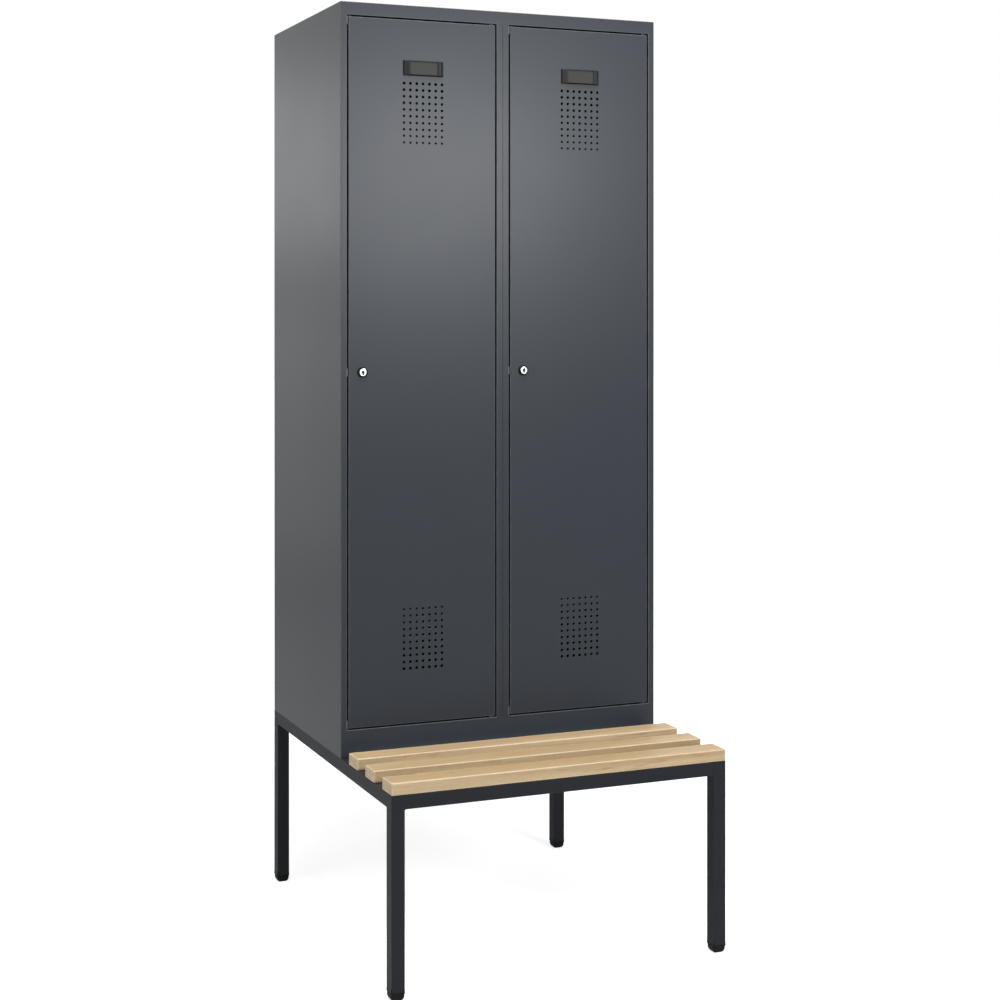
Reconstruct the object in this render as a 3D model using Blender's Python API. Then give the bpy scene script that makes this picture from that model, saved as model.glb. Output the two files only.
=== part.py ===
"""Two-door steel locker standing on a bench frame with three wooden slats.

Metres, +Z up. The origin is on the floor under the middle of the whole piece, and the doors
and the bench face -Y. Folded sheet parts are extruded sections, square and round tubes are
hollow, and every moving piece hangs on an empty, or has its origin, on its own joint's axis.
"""

import math

import bmesh
import bpy
from mathutils import Vector

# Overall sizes
BODY_WIDTH = 0.800
BODY_DEPTH = 0.500
BODY_HEIGHT = 1.700
BENCH_PROJECTION = 0.315
BASE_HEIGHT = 0.427

# Clearances shared by all pieces
FIT_GAP = 0.0003
CUT_OVERRUN = 0.002

# Bench frame of square tube
TUBE_SIZE = 0.030
TUBE_WALL = 0.002
TUBE_RADIUS = 0.003
TUBE_CORNER_STEPS = 3

# Plastic foot glides
GLIDE_HEIGHT = 0.018
GLIDE_SOLE_HEIGHT = 0.002
GLIDE_TAPER_HEIGHT = 0.008
GLIDE_SOLE_INSET = 0.0045
GLIDE_TAPER_INSET = 0.0025
GLIDE_PLUG_LENGTH = 0.022
GLIDE_PLUG_TAPER = 0.001

# Wooden slats
SLAT_WIDTH = 0.055
SLAT_THICKNESS = 0.0262
SLAT_PITCH = 0.103
SLAT_EDGE_RADIUS = 0.0025
SLAT_EDGE_STEPS = 2
SLAT_NAMES = ("bench_slat_front", "bench_slat_middle", "bench_slat_rear")

# Bolts that hold the body on the frame, with their nuts on
BOLT_RADIUS = 0.004
BOLT_HEAD_RADIUS = 0.0075
BOLT_HEAD_HEIGHT = 0.0055
BOLT_INSET = 0.090
BOLT_CLEARANCE = 0.0005
HEXAGON_POINTS = 12

# Folded steel sheet of the body
SHEET = 0.001
BEND_RADIUS = 0.0015
BEND_STEPS = 2
NOTCH_BITE = 0.0001
STILE_WIDTH = 0.0155
STOP_WIDTH = 0.014
STOP_CLEARANCE = 0.0045
REAR_FLANGE = 0.015
CENTRE_SEAM = 0.0003
PARTITION_STILE_DEPTH = 0.030
TOP_RAIL_HEIGHT = 0.030
TOP_RAIL_LIP = 0.012
KICK_RAIL_HEIGHT = 0.062
FLOOR_DROP = 0.014
BASE_LIP = 0.022

# Hat shelves, coat rails and hooks
SHELF_DROP = 0.310
SHELF_FRONT = 0.035
SHELF_FRONT_HEIGHT = 0.020
SHELF_FRONT_LIP = 0.012
SHELF_REAR_HEIGHT = 0.015
RAIL_DROP = 0.045
RAIL_RADIUS = 0.010
RAIL_WALL = 0.0015
RAIL_SIDES = 16
RAIL_FLANGE_RADIUS = 0.017
RAIL_FLANGE_THICKNESS = 0.002
HOOKS_PER_RAIL = 3
HOOK_PITCH = 0.100
HOOK_WIDTH = 0.012
HOOK_STEM_WIDTH = 0.010
HOOK_WALL = 0.0035
HOOK_CLEARANCE = 0.0006
HOOK_STEM = 0.022
HOOK_BEND_RADIUS = 0.011
HOOK_TIP = 0.008
HOOK_BEND_STEPS = 6

# Doors
DOOR_GAP = 0.003
DOOR_THICKNESS = 0.020
DOOR_LIP = 0.014
DOOR_EDGE_RADIUS = 0.0015
DOOR_EDGE_STEPS = 2
STIFFENER_WIDTH = 0.036
STIFFENER_DEPTH = 0.014
STIFFENER_FLANGE = 0.012
STIFFENER_MARGIN = 0.025

# Ventilation holes: a grid near each end of a door, the larger holes towards the end
HOLE_COLUMNS = 7
HOLE_ROWS = 10
HOLE_PITCH_X = 0.0156
HOLE_PITCH_Z = 0.015
HOLE_RADIUS_LARGE = 0.0031
HOLE_RADIUS_SMALL = 0.0020
HOLE_SIDES = 6
UPPER_HOLES_DROP = 0.144
LOWER_HOLES_RISE = 0.125

# Label holders
LABEL_WIDTH = 0.099
LABEL_HEIGHT = 0.0355
LABEL_DROP = 0.0918
LABEL_DEPTH = 0.005
LABEL_FLOOR = 0.0022
LABEL_RIM = 0.004
LABEL_POCKET_INSET = 0.017
LABEL_POCKET_BORDER = 0.003
LABEL_RIB_INSET = 0.013
LABEL_RIB_WIDTH = 0.0045
LABEL_END_HEIGHT = 0.0012
CARD_THICKNESS = 0.0015

# Hinge pins above and below each door
HINGE_INSET = 0.0095
HINGE_DEPTH = 0.007
PIN_RADIUS = 0.0025
PIN_HEAD_RADIUS = 0.005
PIN_HEAD_HEIGHT = 0.002
PIN_COLLAR_RADIUS = 0.006
PIN_LENGTH = 0.007
PIN_CLEARANCE = 0.0003
PIN_SIDES = 12

# Cylinder locks
LOCK_INSET = 0.0337
ROSETTE_RADIUS = 0.01285
ROSETTE_THICKNESS = 0.0024
ROSETTE_CHAMFER = 0.0008
BARREL_RADIUS = 0.0095
CYLINDER_RADIUS = 0.0091
CYLINDER_PROUD = 0.0018
CYLINDER_CHAMFER = 0.0006
COUNTERBORE_DEPTH = 0.0016
SPINDLE_RADIUS = 0.006
TURN_CLEARANCE = 0.0004
KEYWAY_WIDTH = 0.0028
KEYWAY_HEIGHT = 0.0100
KEYWAY_DEPTH = 0.0080
SQUARE_SIZE = 0.0076
NUT_RADIUS = 0.0145
NUT_THICKNESS = 0.0035
CAM_CLEARANCE = 0.001
CAM_THICKNESS = 0.0025
CAM_REACH = 0.030
CAM_HALF_WIDTH = 0.007
CAM_HUB_RADIUS = 0.009
CAM_ARC_STEPS = 8
LOCK_SIDES = 24

# Door buffer on the closing stile: a strip with three blocks
BUFFER_HEIGHT = 0.018
BUFFER_LEG = 0.0019
BUFFER_FRONT = 0.004
BUFFER_TAB_CLEARANCE = 0.0005

# Planes that several pieces share
OVERALL_DEPTH = BENCH_PROJECTION + BODY_DEPTH
LEFT_X = -BODY_WIDTH / 2
RIGHT_X = BODY_WIDTH / 2
BENCH_FRONT_Y = -OVERALL_DEPTH / 2
BACK_Y = OVERALL_DEPTH / 2
BODY_FRONT_Y = BENCH_FRONT_Y + BENCH_PROJECTION
BODY_BOTTOM_Z = BASE_HEIGHT + FIT_GAP
BODY_TOP_Z = BODY_BOTTOM_Z + BODY_HEIGHT
OPENING_BOTTOM_Z = BODY_BOTTOM_Z + KICK_RAIL_HEIGHT
OPENING_TOP_Z = BODY_TOP_Z - TOP_RAIL_HEIGHT
FLOOR_Z = OPENING_BOTTOM_Z - FLOOR_DROP
SHELF_Z = BODY_TOP_Z - SHELF_DROP
RAIL_Z = SHELF_Z - RAIL_DROP
STOP_DEPTH = DOOR_THICKNESS + STOP_CLEARANCE
INNER_DEPTH = BODY_DEPTH - SHEET - FIT_GAP - SHEET - FIT_GAP
DOOR_WIDTH = BODY_WIDTH / 2 - CENTRE_SEAM / 2 - 2 * STILE_WIDTH - 2 * DOOR_GAP
DOOR_HEIGHT = OPENING_TOP_Z - OPENING_BOTTOM_Z - 2 * DOOR_GAP
DOOR_BOTTOM_Z = OPENING_BOTTOM_Z + DOOR_GAP
CAM_FRONT = STOP_DEPTH + SHEET + CAM_CLEARANCE
BARREL_LENGTH = CAM_FRONT - FIT_GAP
SHARP_ANGLE = math.radians(40)
UPRIGHT_TO_X = (0, math.pi / 2, 0)
UPRIGHT_TO_Y = (-math.pi / 2, 0, 0)
UPSIDE_DOWN = (math.pi, 0, 0)


# Helpers for materials, meshes and objects

def clear_scene():
    """Start from an empty scene."""
    for old in list(bpy.data.objects):
        bpy.data.objects.remove(old, do_unlink=True)


def make_material(name, colour, roughness, metallic):
    """Plain Principled material of one piece or family of pieces."""
    made = bpy.data.materials.new(name)
    made.use_nodes = True
    shader = made.node_tree.nodes["Principled BSDF"]
    shader.inputs["Base Color"].default_value = (*colour, 1.0)
    shader.inputs["Roughness"].default_value = roughness
    shader.inputs["Metallic"].default_value = metallic
    return made


def add_object(name, bm, finish, location=(0, 0, 0), rotation=(0, 0, 0), parent=None, smooth=False):
    """Turn a bmesh into a named, placed object with its faces pointing outwards."""
    bmesh.ops.recalc_face_normals(bm, faces=bm.faces)
    mesh = bpy.data.meshes.new(name)
    bm.to_mesh(mesh)
    bm.free()
    if finish is not None:
        mesh.materials.append(finish)
    if smooth:
        mesh.shade_smooth()
        mesh.set_sharp_from_angle(angle=SHARP_ANGLE)
    return place_mesh(name, mesh, location, rotation, parent)


def place_mesh(name, mesh, location, rotation=(0, 0, 0), parent=None):
    """Link a mesh as an object of its own."""
    placed = bpy.data.objects.new(name, mesh)
    bpy.context.collection.objects.link(placed)
    placed.location = location
    placed.rotation_euler = rotation
    placed.parent = parent
    return placed


def add_empty(name, location, parent=None):
    """Empty that marks a joint's axis and carries what turns on it."""
    empty = bpy.data.objects.new(name, None)
    bpy.context.collection.objects.link(empty)
    empty.location = location
    empty.parent = parent
    return empty


def boolean(target, tool, operation):
    """Cut a helper out of an object, or join it on, and hide the helper."""
    step = target.modifiers.new(tool.name, "BOOLEAN")
    step.operation = operation
    step.solver = "EXACT"
    step.object = tool
    tool.hide_render = True
    tool.display_type = "WIRE"


def cut(target, bm, location=(0, 0, 0), rotation=(0, 0, 0), parent=None):
    """Cut a closed shape out of an object."""
    tool = add_object(target.name + "_cutter", bm, None, location, rotation, parent)
    boolean(target, tool, "DIFFERENCE")


def join(target, bm, location=(0, 0, 0), rotation=(0, 0, 0), parent=None):
    """Join a closed shape that overlaps an object onto it."""
    tool = add_object(target.name + "_addition", bm, None, location, rotation, parent)
    boolean(target, tool, "UNION")


def evaluated_mesh(source):
    """Mesh of an object with its modifiers in effect."""
    graph = bpy.context.evaluated_depsgraph_get()
    return bpy.data.meshes.new_from_object(source.evaluated_get(graph))


def on_axis(u, v, w, axis):
    """Point whose last value runs along an axis and whose first two lie across it."""
    return {"X": (w, u, v), "Y": (u, w, v), "Z": (u, v, w)}[axis]


def box(low, high):
    """Box between two corners."""
    bm = bmesh.new()
    bmesh.ops.create_cube(bm, size=1)
    size = Vector(high) - Vector(low)
    bmesh.ops.scale(bm, vec=size, verts=bm.verts)
    bmesh.ops.translate(bm, vec=Vector(low) + size / 2, verts=bm.verts)
    return bm


def prism(outline, length, axis):
    """Outline extruded along an axis from zero to a length."""
    bm = bmesh.new()
    base = bm.faces.new([bm.verts.new(on_axis(u, v, 0, axis)) for u, v in outline])
    grown = bmesh.ops.extrude_face_region(bm, geom=[base])
    moved = [item for item in grown["geom"] if isinstance(item, bmesh.types.BMVert)]
    bmesh.ops.translate(bm, vec=on_axis(0, 0, length, axis), verts=moved)
    return bm


def bridge_rings(bm, first, second):
    """Faces between two rings of equal count; a ring of one point is a pole."""
    count = max(len(first), len(second))
    for here in range(count):
        after = (here + 1) % count
        corners = [first[here % len(first)], first[after % len(first)],
                   second[after % len(second)], second[here % len(second)]]
        bm.faces.new(list(dict.fromkeys(corners)))


def loft(sections, axis="Z"):
    """Closed body through rings given as (place along the axis, outline)."""
    bm = bmesh.new()
    rings = [[bm.verts.new(on_axis(u, v, place, axis)) for u, v in outline]
             for place, outline in sections]
    for first, second in zip(rings, rings[1:]):
        bridge_rings(bm, first, second)
    bm.faces.new(rings[0])
    bm.faces.new(rings[-1])
    return bm


def tube(outer, inner, length, axis, cap=0):
    """Hollow tube along an axis, open at both ends or with a cap at its far end."""
    bm = bmesh.new()
    far_inner = length - cap
    places = ((0, outer), (length, outer), (far_inner, inner), (0, inner))
    rings = [[bm.verts.new(on_axis(u, v, place, axis)) for u, v in ring] for place, ring in places]
    bridge_rings(bm, rings[0], rings[1])
    bridge_rings(bm, rings[2], rings[3])
    bridge_rings(bm, rings[3], rings[0])
    if cap:
        bm.faces.new(rings[1])
        bm.faces.new(rings[2])
    else:
        bridge_rings(bm, rings[1], rings[2])
    return bm


def turned(profile, sides):
    """Body turned about Z from (radius, height) points; a zero radius is a pole."""
    bm = bmesh.new()
    rings = []
    for radius, height in profile:
        ring = circle(radius, sides) if radius else [(0, 0)]
        rings.append([bm.verts.new((u, v, height)) for u, v in ring])
    for first, second in zip(rings, rings[1:]):
        bridge_rings(bm, first, second)
    if profile[0][0]:
        bridge_rings(bm, rings[-1], rings[0])
    return bm


def circle(radius, sides):
    """Regular outline with a flat side downwards."""
    step = 2 * math.pi / sides
    return [(radius * math.sin((i + 0.5) * step), radius * math.cos((i + 0.5) * step))
            for i in range(sides)]


def round_as_hexagon(radius):
    """Round outline with as many points as a hexagon's, in the same directions."""
    angles = [2 * math.pi * index / HEXAGON_POINTS for index in range(HEXAGON_POINTS)]
    return [(radius * math.cos(angle), radius * math.sin(angle)) for angle in angles]


def hexagon(radius):
    """Hexagon by its corner radius, with an extra point in the middle of each side."""
    share = math.cos(2 * math.pi / HEXAGON_POINTS)
    points = []
    for index, (u, v) in enumerate(round_as_hexagon(radius)):
        points.append((u, v) if index % 2 == 0 else (u * share, v * share))
    return points


def rounded_square(half, radius, steps):
    """Square outline with rounded corners."""
    points = []
    for corner in range(4):
        turn = corner * math.pi / 2
        middle = Vector((half - radius, half - radius))
        for step in range(steps):
            angle = step / (steps - 1) * math.pi / 2
            point = middle + radius * Vector((math.cos(angle), math.sin(angle)))
            points.append((point.x * math.cos(turn) - point.y * math.sin(turn),
                           point.x * math.sin(turn) + point.y * math.cos(turn)))
    return points


def side_line(path, distance):
    """Line beside an open path, on its left for a positive distance."""
    normals = []
    for start, end in zip(path, path[1:]):
        along = (Vector(end) - Vector(start)).normalized()
        normals.append(Vector((-along.y, along.x)))
    line = []
    for index, point in enumerate(path):
        before = normals[max(index - 1, 0)]
        after = normals[min(index, len(normals) - 1)]
        mitre = (before + after) / (1 + before.dot(after))
        line.append(tuple(Vector(point) + distance * mitre))
    return line


def rounded_path(path):
    """Path with a sheet's bends: wide where it is the outside of a bend, tight on the inside."""
    points = [path[0]]
    for before, corner, after in zip(path, path[1:], path[2:]):
        corner = Vector(corner)
        back = (Vector(before) - corner).normalized()
        ahead = (Vector(after) - corner).normalized()
        turns_left = back.cross(ahead) < 0
        radius = BEND_RADIUS if turns_left else BEND_RADIUS - SHEET
        middle = corner + radius * (back + ahead)
        for step in range(BEND_STEPS + 1):
            angle = step / BEND_STEPS * math.pi / 2
            points.append(tuple(middle - radius * (ahead * math.cos(angle) + back * math.sin(angle))))
    points.append(path[-1])
    return points


def folded(path):
    """Outline of the sheet folded along a path of square bends, which lies to its left."""
    outside = rounded_path(path)
    return outside + side_line(outside, SHEET)[::-1]


def mirrored(outline):
    """Outline turned left to right."""
    return [(-u, v) for u, v in outline]


# Bench frame

def build_frame(paint, glide_plastic):
    """Four legs with foot glides and the rails welded between them."""
    half = TUBE_SIZE / 2
    outer = rounded_square(half, TUBE_RADIUS, TUBE_CORNER_STEPS)
    inner_radius = max(TUBE_RADIUS - TUBE_WALL, FIT_GAP)
    inner = rounded_square(half - TUBE_WALL, inner_radius, TUBE_CORNER_STEPS)
    leg_x = BODY_WIDTH / 2 - half
    leg_y = OVERALL_DEPTH / 2 - half
    leg_bottom = GLIDE_HEIGHT + FIT_GAP
    rail_z = BASE_HEIGHT - half
    for end, y in (("front", -leg_y), ("rear", leg_y)):
        for side, x in (("left", -leg_x), ("right", leg_x)):
            leg = tube(outer, inner, BASE_HEIGHT - leg_bottom, "Z", TUBE_WALL)
            add_object(f"frame_leg_{end}_{side}", leg, paint, (x, y, leg_bottom), smooth=True)
            add_glide(f"foot_glide_{end}_{side}", glide_plastic, (x, y, 0))
    across = 2 * (leg_x - half - FIT_GAP)
    along = 2 * (leg_y - half - FIT_GAP)
    bolt_x = BODY_WIDTH / 2 - BOLT_INSET
    for name, y in (("frame_front_rail", -leg_y), ("frame_rear_rail", leg_y),
                    ("frame_cross_rail", BODY_FRONT_Y + half)):
        rail = add_object(name, tube(outer, inner, across, "X"), paint,
                          (-across / 2, y, rail_z), smooth=True)
        if name != "frame_front_rail":
            for x in (-bolt_x, bolt_x):
                cut(rail, bolt_hole(TUBE_SIZE), (x, y, BASE_HEIGHT - TUBE_SIZE))
    for name, x in (("frame_left_rail", -leg_x), ("frame_right_rail", leg_x)):
        add_object(name, tube(outer, inner, along, "Y"), paint, (x, -along / 2, rail_z), smooth=True)


def add_glide(name, finish, location):
    """Foot glide: a tapered sole as wide as the tube, with a plug that fits inside it."""
    half = TUBE_SIZE / 2
    plug_half = half - TUBE_WALL - FIT_GAP
    plug_end = GLIDE_HEIGHT + GLIDE_PLUG_LENGTH
    steps = TUBE_CORNER_STEPS

    def ring(place, size):
        return place, rounded_square(size, TUBE_RADIUS, steps)

    sections = [ring(0, half - GLIDE_SOLE_INSET),
                ring(GLIDE_SOLE_HEIGHT, half - GLIDE_TAPER_INSET),
                ring(GLIDE_TAPER_HEIGHT, half),
                ring(GLIDE_HEIGHT, half),
                ring(GLIDE_HEIGHT, plug_half),
                ring(plug_end, plug_half - GLIDE_PLUG_TAPER)]
    add_object(name, loft(sections), finish, location, smooth=True)


def bolt_hole(length):
    """Cutter for a bolt's hole, from zero height upwards, past both faces."""
    hole = round_as_hexagon(BOLT_RADIUS + BOLT_CLEARANCE)
    return loft([(-CUT_OVERRUN, hole), (length + CUT_OVERRUN, hole)])


def build_slats(wood):
    """Slats across the bench, resting on its side rails."""
    first_y = BENCH_FRONT_Y + SLAT_WIDTH / 2
    for index, name in enumerate(SLAT_NAMES):
        bm = box((LEFT_X, -SLAT_WIDTH / 2, 0), (RIGHT_X, SLAT_WIDTH / 2, SLAT_THICKNESS))
        bmesh.ops.bevel(bm, geom=bm.edges[:], offset=SLAT_EDGE_RADIUS, segments=SLAT_EDGE_STEPS,
                        profile=0.5, affect="EDGES")
        add_object(name, bm, wood, (0, first_y + index * SLAT_PITCH, BASE_HEIGHT + FIT_GAP), smooth=True)


def build_body_bolts(steel):
    """Bolts from below the frame through the lips of the body's bottom panel, with nuts."""
    head_top = BASE_HEIGHT - TUBE_SIZE - FIT_GAP
    nut_bottom = BODY_BOTTOM_Z + SHEET + FIT_GAP
    nut_top = nut_bottom + BOLT_HEAD_HEIGHT
    head = hexagon(BOLT_HEAD_RADIUS)
    shank = round_as_hexagon(BOLT_RADIUS)
    sections = [(head_top - BOLT_HEAD_HEIGHT, head), (head_top, head), (head_top, shank),
                (nut_bottom, shank), (nut_bottom, head), (nut_top, head), (nut_top, shank),
                (nut_top + BOLT_HEAD_HEIGHT / 2, shank)]
    for end, y in bolt_rows():
        for side, x in (("left", LEFT_X + BOLT_INSET), ("right", RIGHT_X - BOLT_INSET)):
            add_object(f"body_bolt_{end}_{side}", loft(sections), steel, (x, y, 0), smooth=True)


def bolt_rows():
    """Name and depth of the two rows of body bolts."""
    return ("front", BODY_FRONT_Y + TUBE_SIZE / 2), ("rear", BACK_Y - TUBE_SIZE / 2)


# Locker body

def wall_section(depth, rear_flange=0):
    """Section of a wall with its front stile and door stop, from its outer front corner."""
    path = [(0, depth), (0, 0), (STILE_WIDTH, 0), (STILE_WIDTH, STOP_DEPTH),
            (STILE_WIDTH + STOP_WIDTH, STOP_DEPTH)]
    if rear_flange:
        path.insert(0, (rear_flange, depth))
    return folded(path)


def notch_box(inner, outer, low_y, high_y, low_z, high_z):
    """Cutter for a notch, between two places across the wall."""
    return box((min(inner, outer), low_y, low_z), (max(inner, outer), high_y, high_z))


def build_walls(paint):
    """Side panels, partition and second centre stile."""
    section = wall_section(BODY_DEPTH, REAR_FLANGE)
    notch_back = STOP_DEPTH + SHEET + FIT_GAP + CUT_OVERRUN
    reach = STILE_WIDTH + STOP_WIDTH + CUT_OVERRUN
    for name, x, sign in (("left_side_panel", LEFT_X, 1), ("right_side_panel", RIGHT_X, -1)):
        outline = section if sign > 0 else mirrored(section)
        wall = add_object(name, prism(outline, BODY_HEIGHT, "Z"), paint,
                          (x, BODY_FRONT_Y, BODY_BOTTOM_Z))
        inner = sign * (SHEET - NOTCH_BITE)
        top_notch = BODY_HEIGHT - TOP_RAIL_HEIGHT - FIT_GAP
        bottom_notch = KICK_RAIL_HEIGHT + FIT_GAP
        over = BODY_HEIGHT + CUT_OVERRUN
        cut(wall, notch_box(inner, sign * reach, -CUT_OVERRUN, notch_back, top_notch, over),
            (x, BODY_FRONT_Y, BODY_BOTTOM_Z))
        cut(wall, notch_box(inner, sign * reach, -CUT_OVERRUN, notch_back, -CUT_OVERRUN, bottom_notch),
            (x, BODY_FRONT_Y, BODY_BOTTOM_Z))
        flange_notch = BODY_HEIGHT - REAR_FLANGE - FIT_GAP
        cut(wall, notch_box(inner, sign * reach, BODY_DEPTH - BEND_RADIUS - FIT_GAP,
                            BODY_DEPTH + CUT_OVERRUN, flange_notch, over),
            (x, BODY_FRONT_Y, BODY_BOTTOM_Z))

    partition_bottom = FLOOR_Z + FIT_GAP
    partition_height = BODY_TOP_Z - SHEET - FIT_GAP - partition_bottom
    partition = add_object("partition_panel",
                           prism(mirrored(wall_section(INNER_DEPTH)), partition_height, "Z"),
                           paint, (-CENTRE_SEAM / 2, BODY_FRONT_Y, partition_bottom))
    stile_bottom = OPENING_BOTTOM_Z + FIT_GAP
    stile_top = OPENING_TOP_Z - FIT_GAP
    for low_z, high_z in ((stile_top, BODY_TOP_Z), (FLOOR_Z, stile_bottom)):
        cut(partition, box((-reach, -CUT_OVERRUN, low_z), (reach, notch_back, high_z)),
            (0, BODY_FRONT_Y, 0))
    add_object("partition_stile", prism(wall_section(PARTITION_STILE_DEPTH), stile_top - stile_bottom, "Z"),
               paint, (CENTRE_SEAM / 2, BODY_FRONT_Y, stile_bottom))


def build_shell(paint):
    """Top panel with the front rail, bottom panel with the kick rail, and back panel."""
    start_x = LEFT_X + SHEET + FIT_GAP
    width = -2 * start_x
    rail_bottom = BODY_HEIGHT - TOP_RAIL_HEIGHT
    top = folded([(BODY_DEPTH, BODY_HEIGHT - REAR_FLANGE), (BODY_DEPTH, BODY_HEIGHT), (0, BODY_HEIGHT),
                  (0, rail_bottom), (STOP_DEPTH, rail_bottom), (STOP_DEPTH, rail_bottom + TOP_RAIL_LIP)])
    top_panel = add_object("top_panel", prism(top, width, "X"), paint,
                           (start_x, BODY_FRONT_Y, BODY_BOTTOM_Z))
    floor = KICK_RAIL_HEIGHT - FLOOR_DROP
    rear = INNER_DEPTH
    bottom = folded([(rear - BASE_LIP, 0), (rear, 0), (rear, floor), (STOP_DEPTH, floor),
                     (STOP_DEPTH, KICK_RAIL_HEIGHT), (0, KICK_RAIL_HEIGHT), (0, 0), (BASE_LIP, 0)])
    bottom_panel = add_object("bottom_panel", prism(bottom, width, "X"), paint,
                              (start_x, BODY_FRONT_Y, BODY_BOTTOM_Z))
    for _, y in bolt_rows():
        for x in (LEFT_X + BOLT_INSET, RIGHT_X - BOLT_INSET):
            cut(bottom_panel, bolt_hole(SHEET), (x, y, BODY_BOTTOM_Z))
    for _, edge_x in compartments():
        x = edge_x + STILE_WIDTH + DOOR_GAP + DOOR_WIDTH - HINGE_INSET
        y = BODY_FRONT_Y + HINGE_DEPTH
        cut(top_panel, pin_hole(), (x, y, OPENING_TOP_Z))
        cut(bottom_panel, pin_hole(), (x, y, OPENING_BOTTOM_Z - SHEET))
    back_y = BODY_FRONT_Y + INNER_DEPTH + FIT_GAP
    add_object("back_panel", box((start_x, 0, 0), (-start_x, SHEET, BODY_HEIGHT - SHEET - FIT_GAP)),
               paint, (0, back_y, BODY_BOTTOM_Z))


def pin_hole():
    """Cutter for a hinge pin's hole in a sheet whose lower face is at zero height."""
    clear = PIN_RADIUS + PIN_CLEARANCE
    return turned([(0, -CUT_OVERRUN / 2), (clear, -CUT_OVERRUN / 2), (clear, SHEET + CUT_OVERRUN),
                   (0, SHEET + CUT_OVERRUN)], PIN_SIDES)


def compartments():
    """Name and outer left face of each compartment's left-hand stile."""
    return ("left", LEFT_X), ("right", CENTRE_SEAM / 2)


def inner_walls():
    """Name, left wall face and right wall face of each compartment behind the stiles."""
    return (("left", LEFT_X + SHEET, -CENTRE_SEAM / 2 - SHEET),
            ("right", -CENTRE_SEAM / 2, RIGHT_X - SHEET))


# Inside of the compartments

def build_interior(paint, bright_steel, plastic):
    """Hat shelf, coat rail and sliding hooks in both compartments."""
    shelf_back = INNER_DEPTH - FIT_GAP - SHEET
    shelf = folded([(shelf_back, SHELF_REAR_HEIGHT), (shelf_back, 0), (SHELF_FRONT, 0),
                    (SHELF_FRONT, -SHELF_FRONT_HEIGHT),
                    (SHELF_FRONT + SHELF_FRONT_LIP, -SHELF_FRONT_HEIGHT)])
    rail_y = BODY_FRONT_Y + (SHELF_FRONT + INNER_DEPTH) / 2
    hook_mesh = make_hook_mesh(plastic)
    for side, low_x, high_x in inner_walls():
        width = high_x - low_x - 2 * FIT_GAP
        add_object(f"{side}_hat_shelf", prism(shelf, width, "X"), paint,
                   (low_x + FIT_GAP, BODY_FRONT_Y, SHELF_Z))
        add_object(f"{side}_coat_rail", coat_rail(width), bright_steel, (low_x + FIT_GAP, rail_y, RAIL_Z),
                   UPRIGHT_TO_X, smooth=True)
        middle_x = (low_x + high_x) / 2
        for index in range(HOOKS_PER_RAIL):
            x = middle_x + (index - (HOOKS_PER_RAIL - 1) / 2) * HOOK_PITCH
            place_mesh(f"{side}_coat_hook_{index + 1}", hook_mesh, (x, rail_y, RAIL_Z))


def coat_rail(width):
    """Round tube with a welding flange at each end, standing upright."""
    bore = RAIL_RADIUS - RAIL_WALL
    inner_end = width - RAIL_FLANGE_THICKNESS
    return turned([(bore, 0), (RAIL_FLANGE_RADIUS, 0), (RAIL_FLANGE_RADIUS, RAIL_FLANGE_THICKNESS),
                   (RAIL_RADIUS, RAIL_FLANGE_THICKNESS), (RAIL_RADIUS, inner_end),
                   (RAIL_FLANGE_RADIUS, inner_end), (RAIL_FLANGE_RADIUS, width), (bore, width)], RAIL_SIDES)


def make_hook_mesh(finish):
    """Mesh of a hook that slides on the rail: a ring with a stem that curls forwards."""
    bore = RAIL_RADIUS + HOOK_CLEARANCE
    ring_radius = bore + HOOK_WALL
    ring = tube(circle(ring_radius, RAIL_SIDES), circle(bore, RAIL_SIDES), HOOK_WIDTH, "X")
    bmesh.ops.translate(ring, vec=(-HOOK_WIDTH / 2, 0, 0), verts=ring.verts)
    hook = add_object("hook_shape", ring, finish, smooth=True)
    top = -(bore + HOOK_WALL / 2)
    bend_z = -ring_radius - HOOK_STEM
    path = [(0, top), (0, bend_z)]
    for step in range(1, HOOK_BEND_STEPS + 1):
        angle = step / HOOK_BEND_STEPS * math.pi
        path.append((HOOK_BEND_RADIUS * (math.cos(angle) - 1), bend_z - HOOK_BEND_RADIUS * math.sin(angle)))
    path.append((-2 * HOOK_BEND_RADIUS, bend_z + HOOK_TIP))
    outline = side_line(path, HOOK_WALL / 2) + side_line(path, -HOOK_WALL / 2)[::-1]
    join(hook, prism(outline, HOOK_STEM_WIDTH, "X"), (-HOOK_STEM_WIDTH / 2, 0, 0))
    mesh = evaluated_mesh(hook)
    hook.hide_render = True
    hook.display_type = "WIRE"
    return mesh


# Doors

def hole_grid(x, z, towards_top):
    """Cutter for a grid of ventilation holes, centred across x, whose end row is at height z."""
    bm = bmesh.new()
    direction = 1 if towards_top else -1
    for row in range(HOLE_ROWS):
        share = row / (HOLE_ROWS - 1)
        radius = HOLE_RADIUS_LARGE + share * (HOLE_RADIUS_SMALL - HOLE_RADIUS_LARGE)
        row_z = z - direction * row * HOLE_PITCH_Z
        for column in range(HOLE_COLUMNS):
            column_x = x + (column - (HOLE_COLUMNS - 1) / 2) * HOLE_PITCH_X
            ends = []
            for depth in (-CUT_OVERRUN, SHEET + CUT_OVERRUN):
                ends.append([bm.verts.new((column_x + u, depth, row_z + v))
                             for u, v in circle(radius, HOLE_SIDES)])
            bridge_rings(bm, *ends)
            bm.faces.new(ends[0])
            bm.faces.new(ends[1])
    return bm


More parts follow.
